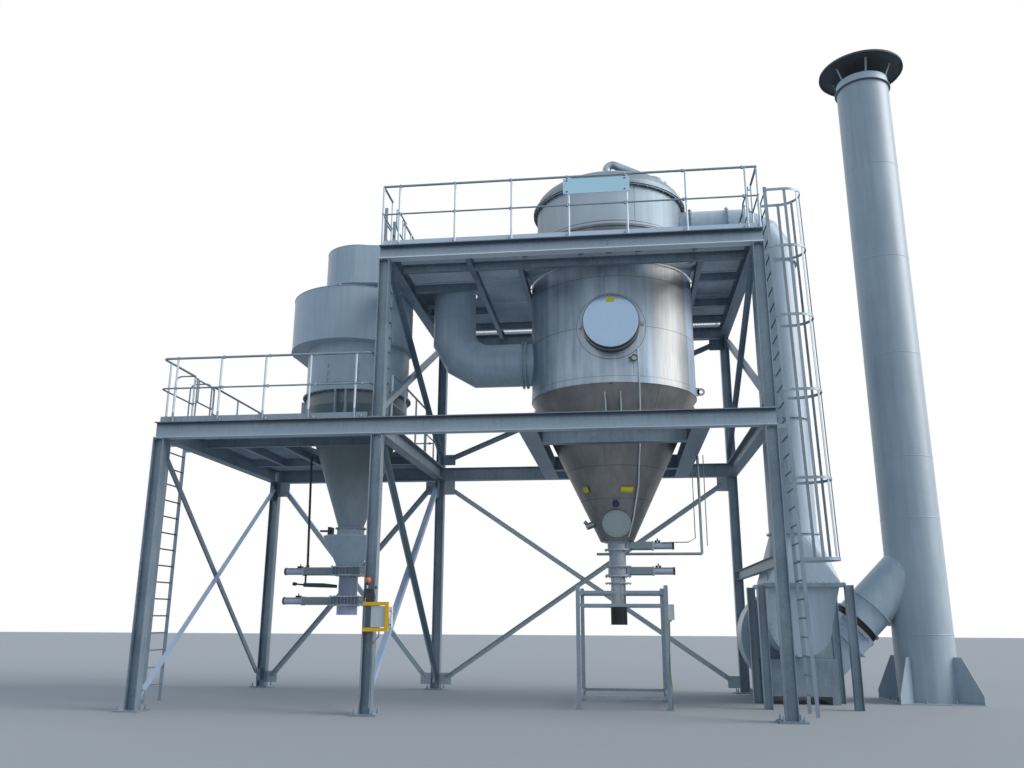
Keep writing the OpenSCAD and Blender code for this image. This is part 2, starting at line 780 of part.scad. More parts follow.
inlet_w = 620;
inlet_run = 1900;
spiral_from = 20;
spiral_turn = 200;

// Plan of the scroll and the straight duct that leads into it, smaller by t all round
module scroll_plan(t, more) {
    inner_x = inlet_w - scroll_r - t;
    meet = acos(inner_x / (barrel_r - t));
    front = [for (i = [0 : 24]) let (a = meet + (spiral_from - meet) * i / 24)
        [(barrel_r - t) * cos(a), (barrel_r - t) * sin(a)]];
    spiral = [for (i = [1 : 40]) let (s = i / 40, a = spiral_from - spiral_turn * s,
        r = barrel_r - t + (scroll_r - barrel_r) * pow(s, 0.7)) [r * cos(a), r * sin(a)]];
    polygon(concat([[t - scroll_r, inlet_run + more], [inner_x, inlet_run + more]], front, spiral));
}

module inlet_scroll() {
    h = scroll_z[1] - scroll_z[0];
    color("#a3adb5") at_cyclone() translate([0, 0, scroll_z[0]]) difference() {
        union() {
            linear_extrude(h) scroll_plan(0, 0);
            translate([-scroll_r - 50, inlet_run - 12, -50]) cube([inlet_w + 100, 12, h + 100]);
        }
        translate([0, 0, sheet_t]) linear_extrude(h - 2 * sheet_t) scroll_plan(sheet_t, eps);
        translate([0, 0, -eps]) cylinder(h = sheet_t + 2 * eps, r = barrel_r - 2 * sheet_t);
        translate([0, 0, h - sheet_t - eps]) cylinder(h = sheet_t + 2 * eps, r = duct_r);
    }
}

module cyclone_barrel() {
    color("#a3adb5") at_cyclone() {
        translate([0, 0, barrel_flange_z]) ring(barrel_r, sheet_t, scroll_z[0] - barrel_flange_z);
        translate([0, 0, barrel_flange_z]) ring(barrel_r + 60, 70, 15);
    }
}

module cyclone_cone() {
    color("#a3adb5") at_cyclone() {
        translate([0, 0, barrel_flange_z - 15]) ring(barrel_r + 60, 70, 15);
        difference() {
            rotate_extrude() polygon([[0, cone_end_z], [cone_end_r, cone_end_z],
                [barrel_r - 15, cone_top_z], [barrel_r - 15, barrel_flange_z - 15], [0, barrel_flange_z - 15]]);
            rotate_extrude() polygon([[0, cone_end_z - eps], [cone_end_r - sheet_t, cone_end_z - eps],
                [cone_end_r - sheet_t, cone_end_z],
                [barrel_r - 15 - sheet_t, cone_top_z], [barrel_r - 15 - sheet_t, barrel_flange_z + eps],
                [0, barrel_flange_z + eps]]);
        }
        translate([0, 0, cone_end_z]) ring(cone_end_r + 65, 70, 20);
    }
}

module dust_hopper() {
    color("#a3adb5") at_cyclone() difference() {
        rotate_extrude() polygon([[0, hopper_z[0]], [dust_r + 50, hopper_z[0]], [hopper_r, hopper_z[1]],
            [hopper_r, hopper_z[1] + 25], [cone_end_r + 30, hopper_z[1] + 25],
            [cone_end_r + 30, cone_end_z], [0, cone_end_z]]);
        rotate_extrude() polygon([[0, hopper_z[0] - eps], [dust_r + 44, hopper_z[0] - eps],
            [dust_r + 44, hopper_z[0]], [hopper_r - 6, hopper_z[1]], [cone_end_r + 24, hopper_z[1] + 5],
            [cone_end_r + 24, cone_end_z + eps], [0, cone_end_z + eps]]);
    }
}

yoke_h = 116;
actuator_d = 136;

// A slide gate valve with its round cylinder to one side (side = -1 left, 1 right)
module slide_valve(h, r, reach, side) {
    difference() {
        union() {
            cylinder(h = 18, r = r + 75);
            translate([0, 0, h - 18]) cylinder(h = 18, r = r + 75);
            cylinder(h = h, r = r + 25);
        }
        translate([0, 0, -eps]) cylinder(h = h + 2 * eps, r = r - 8);
    }
    translate([side > 0 ? r + 10 : -reach + 400, -110, (h - yoke_h) / 2])
        cube([reach - 410 - r, 220, yoke_h]);
    translate([side * (reach - 400), 0, h / 2]) rotate([0, side * 90, 0]) cylinder(h = 400, d = actuator_d);
}

module dust_valve_upper() {
    color("#b3bac0") at_cyclone() translate([0, 0, 2270]) slide_valve(160, dust_r, 1280, -1);
}

module dust_valve_lower() {
    color("#b3bac0") at_cyclone() {
        translate([0, 0, 1870]) ring(dust_r, sheet_t, 400);
        translate([0, 0, 1710]) slide_valve(160, dust_r, 1280, -1);
        translate([0, 0, 1530]) ring(dust_r + 15, sheet_t, 180);
    }
}

module cyclone_brackets() {
    z1 = barrel_flange_z - 15;
    color("#8b97a5") at_cyclone() difference() {
        for (a = bracket_angles) rotate([0, 0, a]) for (s = [-1, 1])
            translate([bracket_reach - joist_b - 60, s * bracket_gap / 2 - 6, low_top])
                cube([joist_b + 60, 12, z1 - low_top]);
        translate([0, 0, low_top - eps]) cylinder(h = z1 - low_top + 2 * eps, r = barrel_r - 15 + skin_gap,
            $fn = fine);
    }
}

mitre_gap = 0.012;

// A mitred bend in the plane of X and Z: comes down the line x = 0 and leaves along +X
module mitred_bend(r, bend) {
    span = 3 * bend;
    for (k = [0 : 3]) {
        from = max(180, 165 + 30 * k) + mitre_gap;
        to = min(270, 195 + 30 * k) - mitre_gap;
        intersection() {
            translate([bend, 0, 0]) rotate([0, -30 * k, 0]) translate([-bend, 0, -span / 2])
                ring(r, sheet_t, span);
            translate([bend, span / 2, 0]) rotate([90, 0, 0]) linear_extrude(span) polygon([
                [0, 0], [span * cos(from), span * sin(from)], [span * cos(to), span * sin(to)]]);
        }
    }
}

transfer_bend_z = 7160;
transfer_z = transfer_bend_z - bend_r;
nozzle_x = vessel_x - vessel_r + 90;

module transfer_duct() {
    color("#98a2aa") {
        translate([transfer_x, mid_y, transfer_bend_z]) {
            translate([0, 0, joint_gap]) ring(duct_r, sheet_t, head_z[0] - transfer_bend_z - 2 * joint_gap);
            mitred_bend(duct_r, bend_r);
        }
        translate([transfer_x, mid_y, 7330]) ring(duct_r + 8, 10, 12);
        difference() {
            translate([transfer_x + bend_r + joint_gap, mid_y, transfer_z]) rotate([0, 90, 0]) {
                ring(duct_r, sheet_t, nozzle_x - transfer_x - bend_r);
                for (x = [6100, 6175])
                    translate([0, 0, x - transfer_x - bend_r]) ring(duct_r + 55, 58, 16);
            }
            at_vessel() cylinder(h = shoulder_z, r = vessel_r + skin_gap, $fn = fine);
        }
    }
}

vessel_rim_z = 5580;
shoulder_z = 8685;
lid_z = 9600;
vessel_cone_z = 2880;
vessel_cone_r = 310;
vent_z = 6650;
vent_out = 300;

module at_vessel() {
    translate([vessel_x, vessel_y, 0]) children();
}

module vessel_shell() {
    color("silver") at_vessel() {
        translate([0, 0, vessel_rim_z]) ring(vessel_r, vessel_t, shoulder_z - vessel_rim_z);
        translate([0, 0, shoulder_z - 10]) ring(vessel_r - 1, vessel_r - vessel_top_r + 20, 10);
    }
}

module vessel_top() {
    color("silver") at_vessel() {
        translate([0, 0, shoulder_z]) ring(vessel_top_r, vessel_t, lid_z - 50 - shoulder_z);
        translate([0, 0, lid_z - 50]) ring(vessel_top_r + 60, 80, 25);
    }
}

module vessel_lid() {
    r = vessel_top_r + 40;
    outer = [for (i = [0 : 12]) let (a = i * 7.5) [max(r * cos(a), 0), lid_z + 25 + lid_h * sin(a)]];
    inner = [for (i = [12 : -1 : 0]) let (a = i * 7.5)
        [max((r - vessel_t) * cos(a), 0), lid_z + 25 + (lid_h - vessel_t) * sin(a)]];
    color("silver") at_vessel() {
        translate([0, 0, lid_z - 25]) ring(vessel_top_r + 80, 100, 50);
        rotate_extrude() polygon(concat(outer, inner));
    }
}

manhole_r = 262;
manhole_z = 3190;
vessel_slope = atan((vessel_r - vessel_cone_r) / (vessel_rim_z - vessel_cone_z));
function vessel_cone_at(z) = vessel_cone_r + (z - vessel_cone_z) * tan(vessel_slope);

// The inspection cover on the front of the cone, square to its wall
module manhole() {
    deep = 130;
    difference() {
        translate([0, -vessel_cone_at(manhole_z), manhole_z]) rotate([90 + vessel_slope, 0, 0]) {
            translate([0, 0, -deep]) cylinder(h = deep + 30, r = manhole_r - 25);
            translate([0, 0, 15]) cylinder(h = 20, r = manhole_r);
        }
        rotate_extrude() polygon([[0, vessel_cone_z], [vessel_cone_r + skin_gap, vessel_cone_z],
            [vessel_r + skin_gap, vessel_rim_z], [0, vessel_rim_z]]);
    }
}

module vessel_cone() {
    color("silver") at_vessel() manhole();
    color("silver") at_vessel() difference() {
        rotate_extrude() polygon([[0, vessel_cone_z], [vessel_cone_r, vessel_cone_z],
            [vessel_r, vessel_rim_z], [0, vessel_rim_z]]);
        rotate_extrude() polygon([[0, vessel_cone_z - eps], [outlet_r, vessel_cone_z - eps],
            [outlet_r, vessel_cone_z + 10], [vessel_cone_r - 5, vessel_cone_z + 10],
            [vessel_r - vessel_t, vessel_rim_z],
            [vessel_r - vessel_t, vessel_rim_z + eps], [0, vessel_rim_z + eps]]);
    }
}

vessel_bracket_h = 640;

module vessel_brackets() {
    slope = (vessel_r - vessel_cone_r) / (vessel_rim_z - vessel_cone_z);
    r0 = vessel_cone_r + slope * (low_top - 10 - vessel_cone_z) + skin_gap;
    r1 = vessel_cone_r + slope * (low_top + vessel_bracket_h + 10 - vessel_cone_z) + skin_gap;
    color("silver") at_vessel() difference() {
        for (a = [0, 90, 180, 270]) rotate([0, 0, a]) for (s = [-1, 1])
            translate([vessel_trim_off - 90, s * 140 - 8, low_top]) cube([170, 16, vessel_bracket_h]);
        rotate_extrude() polygon([[0, low_top - 10], [r0, low_top - 10],
            [r1, low_top + vessel_bracket_h + 10], [0, low_top + vessel_bracket_h + 10]]);
    }
}

module vent_panel() {
    y0 = vessel_y - vessel_r - vent_out;
    color("silver") difference() {
        translate([vessel_x, y0, vent_z]) rotate([-90, 0, 0]) {
            ring(vent_r, vessel_t, vent_out + 120);
            cylinder(h = 40, r = vent_r + 30);
        }
        at_vessel() cylinder(h = shoulder_z, r = vessel_r + skin_gap, $fn = fine);
    }
}

module vessel_valve_upper() {
    color("silver") at_vessel() translate([0, 0, vessel_cone_z - 150])
        slide_valve(150, outlet_r, 1050, 1);
}

module vessel_valve_lower() {
    color("silver") at_vessel() {
        translate([0, 0, 2420]) ring(outlet_r, sheet_t, vessel_cone_z - 150 - 2420);
        translate([0, 0, valve_low_z]) slide_valve(160, outlet_r, 1050, 1);
    }
}

chute_z = 1630;
valve_low_z = 2260;
sleeve_grip = 60;
sleeve_t = 12;

module vessel_chute() {
    color("silver") at_vessel() {
        translate([0, 0, chute_z]) ring(outlet_r - 20, sheet_t, valve_low_z - chute_z);
        translate([0, 0, valve_low_z - 18]) ring(outlet_r + 75, 99, 18);
    }
}

module chute_sleeve() {
    color("#2a2b2d") at_vessel() translate([0, 0, chute_z - 260])
        ring(outlet_r - 20 + skin_gap + sleeve_t, sleeve_t, 260 + sleeve_grip);
}

stand_x = [7185, 8700];
stand_y = [1500, 3200];
stand_h = 2040;

module discharge_stand() {
    t = 70;
    half = t / 2 + beam_gap;
    color("#9aa5b1") {
        for (x = stand_x, y = stand_y)
            translate([x - t / 2, y - t / 2, 0]) cube([t, t, stand_h]);
        for (z = [170, 1680, 1900], y = stand_y)
            translate([stand_x[0] + half, y - 20, z]) cube([stand_x[1] - stand_x[0] - 2 * half, 40, 50]);
        for (z = [170, 1900], x = stand_x)
            translate([x - 20, stand_y[0] + half, z]) cube([40, stand_y[1] - stand_y[0] - 2 * half, 50]);
    }
}

clean_z = 9120;
box_z = 2100;
reducer_z = 2980;

module clean_duct() {
    start = vessel_x + vessel_top_r - 90;
    color("#a3adb5") {
        difference() {
            translate([start, mid_y, clean_z]) rotate([0, 90, 0]) {
                ring(duct_r, sheet_t, clean_x - bend_r - start - joint_gap);
                for (x = [9520, 10250]) translate([0, 0, x - start]) ring(duct_r + 60, 63, 20);
            }
            translate([vessel_x, vessel_y, shoulder_z])
                cylinder(h = lid_z - shoulder_z, r = vessel_top_r + skin_gap, $fn = fine);
        }
        translate([clean_x, mid_y, clean_z - bend_r]) mirror([1, 0, 0]) mirror([0, 0, 1])
            mitred_bend(duct_r, bend_r);
        translate([clean_x, mid_y, reducer_z + joint_gap])
            ring(duct_r, sheet_t, clean_z - bend_r - reducer_z - 2 * joint_gap);
        for (z = [reducer_z + joint_gap, 5120, 8300])
            translate([clean_x, mid_y, z]) ring(duct_r + 45, 48, 30);
    }
}

box_half = 630;

module fan_inlet_box() {
    color("#a3adb5") {
        translate([clean_x, mid_y, box_z]) hull() {
            translate([-box_half, -box_half, 0]) cube([2 * box_half, 2 * box_half, 1]);
            translate([0, 0, reducer_z - box_z - 1]) cylinder(h = 1, r = duct_r, $fn = 32);
        }
        translate([clean_x - box_half - 60, mid_y - box_half - 60, box_z - 40])
            cube([2 * box_half + 120, 2 * box_half + 120, 40]);
        translate([clean_x, mid_y + box_half - 20, 0]) rotate([90, 0, 0]) linear_extrude(2 * box_half - 40) {
            translate([-100, 1380]) circle(r = 530);
                polygon([[-630, 1380], [430, 1380], [box_half - 20, box_z - 40], [-box_half + 20, box_z - 40]]);
        }
    }
}

fan_y = stack_y;
fan_w = 700;
fan_z = 1270;
mouth_from = 550;
mouth_to = 900;
mouth_axis = -800;
fan_base_h = 140;

module at_fan() {
    translate([clean_x, fan_y, fan_z]) children();
}

module fan_casing() {
    volute = [for (i = [0 : 36]) let (s = i / 36, a = 75 + 240 * s, r = 720 + 480 * s) [r * cos(a), r * sin(a)]];
    tip = [1200 * cos(315), 1200 * sin(315)];
    color("#a3adb5") {
        difference() {
            at_fan() translate([0, fan_w / 2, 0]) rotate([90, 0, 0]) linear_extrude(fan_w) {
                polygon(volute);
                circle(r = 720);
                rotate(45) translate([0, -1200]) square([mouth_to, 800]);
            }
            translate([clean_x - 2000, fan_y - fan_w, -2000]) cube([4000, 2 * fan_w, 2000 + fan_base_h]);
        }
        translate([clean_x, mid_y + box_half - 20 + joint_gap, fan_z]) rotate([-90, 0, 0])
            cylinder(h = fan_y - fan_w / 2 - mid_y - box_half + 20 - joint_gap, r = 420);
    }
}

module fan_base() {
    color("#8b97a5") {
        for (x = [-660, 520])
            translate([clean_x + x, fan_y - fan_w / 2 - 650, 0]) cube([140, fan_w + 1300, fan_base_h]);
        translate([clean_x - 660, fan_y - fan_w / 2 - 650, fan_base_h]) cube([1320, 600, 640]);
        translate([clean_x - 400, fan_y + fan_w / 2 + 150, fan_base_h]) cube([800, 500, 640]);
    }
}

module fan_motor() {
    color("#7f8b96") at_fan() translate([0, fan_w / 2 + joint_gap, 0]) rotate([-90, 0, 0]) {
        cylinder(h = 180, r = 60);
        translate([0, 0, 160]) cylinder(h = 480, r = fan_z - fan_base_h - 640 - joint_gap, $fn = 48);
    }
}

module fan_outlet() {
    reach = (stack_x - clean_x) / cos(45) + 200;
    color("#a3adb5") difference() {
        at_fan() rotate([0, -45, 0]) translate([0, 0, mouth_axis]) rotate([0, 90, 0]) {
            translate([0, 0, mouth_to + joint_gap]) cylinder(h = reach - mouth_to, r = duct_r);
            for (x = [mouth_to + joint_gap, 1400])
                translate([0, 0, x]) cylinder(h = 20, r = duct_r + 45);
        }
        translate([stack_x, stack_y, 0]) cylinder(h = stack_h, r = stack_r + skin_gap, $fn = fine);
        translate([stack_x, stack_y - 2000, 0]) cube([4000, 4000, stack_h]);
    }
}

module fan_frame() {
    color("#8b97a5") for (sx = [-1, 1], y = [2000, 3300])
        bar_z(clean_x + sx * 745, y, 0, box_z - 40, 140, 140, 9, 6);
}

module stack_shell() {
    color("#a9b1b8") translate([stack_x, stack_y, 15]) {
        ring(stack_r, sheet_t, stack_h - 15);
        translate([0, 0, stack_h - 220]) ring(stack_r + 45, 50, 20);
    }
}

stack_foot = 1460;
stack_pcd = 1380;

module stack_base() {
    reach = stack_foot / sqrt(2) - stack_r - 15;
    color("#a9b1b8") translate([stack_x, stack_y, 0]) {
        difference() {
            translate([-stack_foot / 2, -stack_foot / 2, 0]) cube([stack_foot, stack_foot, 15]);
            for (i = [0 : 7]) rotate([0, 0, 22.5 + i * 45])
                translate([stack_pcd / 2, 0, -eps]) cylinder(h = 15 + 2 * eps, r = anchor_hole_r);
        }
        for (a = [45 : 90 : 315]) rotate([0, 0, a]) translate([stack_r + joint_gap, 7, 15]) rotate([90, 0, 0])
            linear_extrude(14) polygon([[0, 0], [reach, 0], [reach, 150], [150, 800], [0, 800]]);
    }
}

cap_rise = 270;

module stack_cap() {
    r = stack_r - sheet_t - 1;
    color("#2c3036") translate([stack_x, stack_y, stack_h]) {
        translate([0, 0, cap_rise]) cylinder(h = 30, r = cap_r);
        for (a = [26 : 60 : 326]) rotate([0, 0, a]) translate([0, 20, 0]) rotate([90, 0, 0])
            linear_extrude(40) polygon([[r - 12, -150], [r, -150], [r, 4], [r + 120, cap_rise + 10],
                [r + 108, cap_rise + 10], [r - 12, 10]]);
    }
}

module purge_pipe() {
    z = 2655;
    x1 = vessel_x + vessel_beam_off + 140;
    color("silver") difference() {
        union() {
            translate([vessel_x - 390, mid_y, z]) rotate([0, 90, 0]) cylinder(h = x1 - vessel_x + 390, r = 25);
            translate([x1, mid_y, z]) cylinder(h = lower_col_h - z, r = 25);
        }
        at_vessel() cylinder(h = vessel_cone_z, r = outlet_r + skin_gap, $fn = fine);
    }
}

guard_z = 1270;
guard_h = 455;
guard_bar = 55;
plate_t = 8;

module control_box() {
    color("#dfe2e0") translate([bay_left + 70, -col_b / 2 - plate_t - 90, guard_z + 65]) cube([220, 90, 325]);
}

module control_guard() {
    front = 120;
    x0 = bay_left - col_h / 2 + 35;
    color("#e0a80f") {
        translate([bay_left - col_h / 2, -col_b / 2 - plate_t, guard_z]) cube([col_h + 100, plate_t, guard_h]);
        for (z = [0, guard_h - guard_bar]) {
            translate([x0, -col_b / 2 - front, guard_z + z]) cube([415, guard_bar, guard_bar]);
            translate([x0, -col_b / 2 - front, guard_z + z]) cube([guard_bar, front - plate_t, guard_bar]);
        }
        translate([x0 + 415 - guard_bar, -col_b / 2 - front, guard_z]) cube([guard_bar, guard_bar, guard_h]);
    }
}

columns();
upper_columns();
lower_beams();
vessel_beams();
lower_joists();
upper_beams();
upper_joists();
lower_grating();
upper_grating();
lower_braces();
upper_braces();
lower_rail_long();
lower_rail_short();
upper_rail_long();
upper_rail_short();
ladder_left();
ladder_inner();
ladder_right();
ladder_cage();
gate_lower();
gate_inner();
gate_right();
outlet_head();
inlet_scroll();
cyclone_barrel();
cyclone_cone();
dust_hopper();
dust_valve_upper();
dust_valve_lower();
cyclone_brackets();
transfer_duct();
vessel_shell();
vessel_top();
vessel_lid();
vessel_cone();
vessel_brackets();
vent_panel();
vessel_valve_upper();
vessel_valve_lower();
vessel_chute();
chute_sleeve();
discharge_stand();
clean_duct();
fan_inlet_box();
fan_casing();
fan_outlet();
fan_base();
fan_motor();
fan_frame();
stack_shell();
stack_base();
stack_cap();
purge_pipe();
control_box();
control_guard();
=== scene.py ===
# %% [markdown]
# The object is a dust separation plant: a grey cyclone, a round stainless filter vessel, the ducts
# between them, a fan and a stack, in a galvanised steel frame with two decks.
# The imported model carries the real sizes. This lesson loads it as a fixed frame, gives every part
# a finish, and adds what is too fine for the solids: gratings, bolts, seams, small pipes.
# Everything is in metres: X runs along the front columns, Y goes back, Z is up.

# %% Load the frame
import json
import math

import bmesh
import bpy
from mathutils import Matrix, Vector


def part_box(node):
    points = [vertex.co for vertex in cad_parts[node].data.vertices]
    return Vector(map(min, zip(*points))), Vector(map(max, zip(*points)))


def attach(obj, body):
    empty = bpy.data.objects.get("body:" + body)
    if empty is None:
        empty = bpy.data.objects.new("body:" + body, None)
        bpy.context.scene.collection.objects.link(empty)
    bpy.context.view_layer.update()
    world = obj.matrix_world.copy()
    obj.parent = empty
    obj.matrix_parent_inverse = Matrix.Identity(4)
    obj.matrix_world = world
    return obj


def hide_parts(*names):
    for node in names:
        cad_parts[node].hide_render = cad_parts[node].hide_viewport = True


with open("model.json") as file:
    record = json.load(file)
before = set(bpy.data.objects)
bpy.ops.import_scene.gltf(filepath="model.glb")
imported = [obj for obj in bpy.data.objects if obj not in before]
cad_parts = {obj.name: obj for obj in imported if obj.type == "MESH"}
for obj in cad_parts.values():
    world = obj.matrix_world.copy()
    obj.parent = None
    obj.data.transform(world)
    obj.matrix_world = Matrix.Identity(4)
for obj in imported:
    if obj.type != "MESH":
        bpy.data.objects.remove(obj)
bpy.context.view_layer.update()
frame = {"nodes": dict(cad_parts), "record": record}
scene = bpy.context.scene
print("nodes in the frame:", len(frame["nodes"]))

# %% [markdown]
# Every later piece is set out from a few axes and levels. They could be typed in, but reading them
# from the frame's own boxes keeps the fine pieces on the solids when a size changes.

# %% Main places
UP = Vector((0, 0, 1))


def bottom(node):
    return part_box(node)[0][2]


def top(node):
    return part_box(node)[1][2]


def upright_axis(node):
    low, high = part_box(node)
    centre = (Vector(low) + Vector(high)) / 2
    return Vector((centre.x, centre.y, 0))


CYCLONE = upright_axis("cyclone_barrel")
VESSEL = upright_axis("vessel_shell")
STACK = upright_axis("stack_shell")
LINE_Y = VESSEL.y
COLUMN_X = (0.0, 3.905, 10.41)
ROW_Y = (0.0, 5.34)
LOW_H, LOW_TOP = bottom("lower_beams"), top("lower_beams")
UP_H, UP_TOP = bottom("upper_beams"), top("upper_beams")
R_BARREL = 1.025
R_VESSEL = 1.6
R_VESSEL_TOP = 1.48
R_DUCT = 0.43
R_STACK = 0.54
print("cyclone", CYCLONE, "vessel", VESSEL, "stack", STACK)

# %% [markdown]
# The camera stands where the photograph was taken. Its place was worked out from the straight
# lines of the steelwork, so it is written as a position, three angles and a focal length.
# A matrix made of the right, up and backward directions sets all three angles at once.

# %% Camera
EYE = Vector((7.986, -14.324, 1.478))
YAW, PITCH, ROLL = 0.12392, 0.25974, 0.0039
FOCAL_MM = 31.005

level = Vector((-math.sin(YAW), math.cos(YAW), 0))
side = Vector((math.cos(YAW), math.sin(YAW), 0))
ahead = level * math.cos(PITCH) + UP * math.sin(PITCH)
above = UP * math.cos(PITCH) - level * math.sin(PITCH)
right = side * math.cos(ROLL) + above * math.sin(ROLL)
over = above * math.cos(ROLL) - side * math.sin(ROLL)

lens = bpy.data.cameras.new("camera")
lens.sensor_width = 36
lens.lens = FOCAL_MM
lens.clip_end = 300
camera = bpy.data.objects.new("camera", lens)
scene.collection.objects.link(camera)
pose = Matrix((right, over, -ahead)).transposed().to_4x4()
pose.translation = EYE
camera.matrix_world = pose
scene.camera = camera
print("camera looks along", [round(v, 3) for v in ahead])

# %% [markdown]
# Shader maths could be wired by hand, one Math node at a time, but it reads best as plain sums.
# This class wraps a socket and overloads the operators, so that 1 - mask or noise * 0.2 + 0.4
# each add their own Math nodes.

# %% Sums on sockets
class Value:
    def __init__(self, nodes, socket):
        self.nodes = nodes
        self.socket = socket

    def sum(self, operation, first, second):
        return self.nodes.sum_of(operation, first, second)

    def __add__(self, other):
        return self.sum("ADD", self, other)

    def __radd__(self, other):
        return self.sum("ADD", other, self)

    def __sub__(self, other):
        return self.sum("SUBTRACT", self, other)

    def __rsub__(self, other):
        return self.sum("SUBTRACT", other, self)

    def __mul__(self, other):
        return self.sum("MULTIPLY", self, other)

    def __rmul__(self, other):
        return self.sum("MULTIPLY", other, self)

    def __gt__(self, other):
        return self.sum("GREATER_THAN", self, other)

    def __lt__(self, other):
        return self.sum("LESS_THAN", self, other)

    def __abs__(self):
        return self.sum("ABSOLUTE", self, 0)


# %% [markdown]
# A material and the world both hold a tree of nodes. One method makes any node in such a tree: its
# settings come first, because some settings change which sockets a node has, then its sockets.

# %% Any node from one method
class Nodes:
    def __init__(self, owner):
        owner.use_nodes = True
        self.tree = owner.node_tree
        self.tree.nodes.clear()

    def feed(self, socket, value):
        if isinstance(value, Value):
            self.tree.links.new(value.socket, socket)
        elif isinstance(value, tuple) and len(value) < len(socket.default_value):
            socket.default_value = (*value, 1)
        else:
            socket.default_value = value

    def node(self, kind, settings=None, sockets=None, out=0):
        made = self.tree.nodes.new(kind)
        for key, value in (settings or {}).items():
            if key == "stops":
                for stop, (at, shade) in zip(made.color_ramp.elements, value):
                    stop.position = at
                    stop.color = (shade, shade, shade, 1)
            else:
                setattr(made, key, value)
        for key, value in (sockets or {}).items():
            self.feed(made.inputs[key], value)
        return Value(self, made.outputs[out] if made.outputs else None)

    def sum_of(self, operation, first, second):
        return self.node("ShaderNodeMath", {"operation": operation}, {0: first, 1: second})


# %% [markdown]
# A finish is one material. Its short methods name what the finishes below need: clouds of noise,
# a bump, and windows on the object's own coordinates that tint one place of a solid.

# %% A finish and its nodes
class Finish(Nodes):
    def __init__(self, name):
        self.material = bpy.data.materials.new(name)
        super().__init__(self.material)
        shader = self.node("ShaderNodeBsdfPrincipled")
        self.shader = shader.socket.node
        self.node("ShaderNodeOutputMaterial", {}, {"Surface": shader})
        self.place = self.node("ShaderNodeTexCoord", out="Object")

    def set(self, **sockets):
        for key, value in sockets.items():
            self.feed(self.shader.inputs[key.replace("_", " ")], value)

    def mix(self, factor, first, second):
        return self.node("ShaderNodeMix", {"data_type": "RGBA"}, {0: factor, 6: first, 7: second}, out=2)

    def stretch(self, x, y, z):
        return self.node("ShaderNodeVectorMath", {"operation": "MULTIPLY"}, {0: self.place, 1: (x, y, z)})

    def noise(self, scale, where=None, detail=3, rough=0.55):
        return self.node("ShaderNodeTexNoise", {}, {"Vector": where or self.place, "Scale": scale,
                                                    "Detail": detail, "Roughness": rough})

    def ramp(self, factor, *stops):
        return self.node("ShaderNodeValToRGB", {"stops": stops}, {0: factor})

    def bump(self, height, strength, distance):
        sockets = {"Height": height, "Strength": strength, "Distance": distance}
        return self.node("ShaderNodeBump", {}, sockets)

    def along(self, axis):
        return self.node("ShaderNodeSeparateXYZ", {}, {0: self.place}, out="xyz".index(axis))

    def bearing(self, centre):
        across, back = self.along("x") - centre.x, self.along("y") - centre.y
        return self.sum_of("ARCTAN2", back, across) * (180 / math.pi)

    def fade(self, value, start, end):
        return self.node("ShaderNodeMapRange", {}, {"Value": value, "From Min": start, "From Max": end})

    def zone(self, **limits):
        inside = 1.0
        for axis, (low, high) in limits.items():
            inside = (self.along(axis) > low) * (self.along(axis) < high) * inside
        return inside

    def tint(self, shade, colour, amount=1, **limits):
        return self.mix(self.zone(**limits) * amount, shade, colour)


def untouched(made, shade):
    return shade


print("helpers ready")

# %% [markdown]
# Galvanised steel is dull zinc: blue-grey, with large cloudy patches, faint crystals a few
# millimetres to centimetres wide, and pale runs. A picture of zinc would repeat over so much
# steel, so noise makes it. It is partly metallic, because weathered zinc scatters more than it mirrors.

# %% Galvanised steel
def galvanised(name, dark, light, metallic, zones=untouched):
    made = Finish(name)
    clouds = made.noise(1.4, detail=4)
    crystals = made.node("ShaderNodeTexVoronoi", {}, {"Vector": made.place, "Scale": 38.0}, out="Color")
    grey = made.node("ShaderNodeRGBToBW", {}, {0: crystals})
    runs = made.noise(3.0, made.stretch(6, 6, 0.5), detail=5)
    tone = clouds * 0.75 + grey * 0.12 + runs * 0.35 - 0.1
    shade = made.mix(made.ramp(tone, (0.3, 0.0), (0.75, 1.0)), dark, light)
    made.set(Base_Color=zones(made, shade), Metallic=metallic, Roughness=clouds * 0.25 + 0.38,
             Normal=made.bump(made.noise(60.0, detail=2), 0.15, 0.002))
    return made.material


STEEL = (0.165, 0.218, 0.268), (0.33, 0.415, 0.48)
TUBE = (0.22, 0.28, 0.335), (0.36, 0.43, 0.49)
steel = galvanised("galvanised_steel", *STEEL, 0.35)
tube = galvanised("galvanised_tube", *TUBE, 0.45)
mesh_steel = galvanised("grating_steel", (0.24, 0.30, 0.35), (0.44, 0.52, 0.59), 0.35)
pale_zinc = galvanised("pale_zinc", (0.42, 0.50, 0.57), (0.62, 0.70, 0.77), 0.2)
print("zinc finishes:", steel.name, tube.name, mesh_steel.name, pale_zinc.name)

# %% [markdown]
# The braces that rise to the back show the lit tops of their legs, the falling ones their shaded
# undersides: a painted highlight and painted shade in the colour, with a lighter tint on the back row.
# They are one solid, so a slanted window finds the rising ones: the distance of a point from the
# brace's own line. The bright half changes sides where the two braces cross.

# %% Painted light on the braces
BRACE_Y, BRACE_Z, BRACE_SLOPE, BRACE_REACH = 0.21, 0.27, 0.816, 0.11


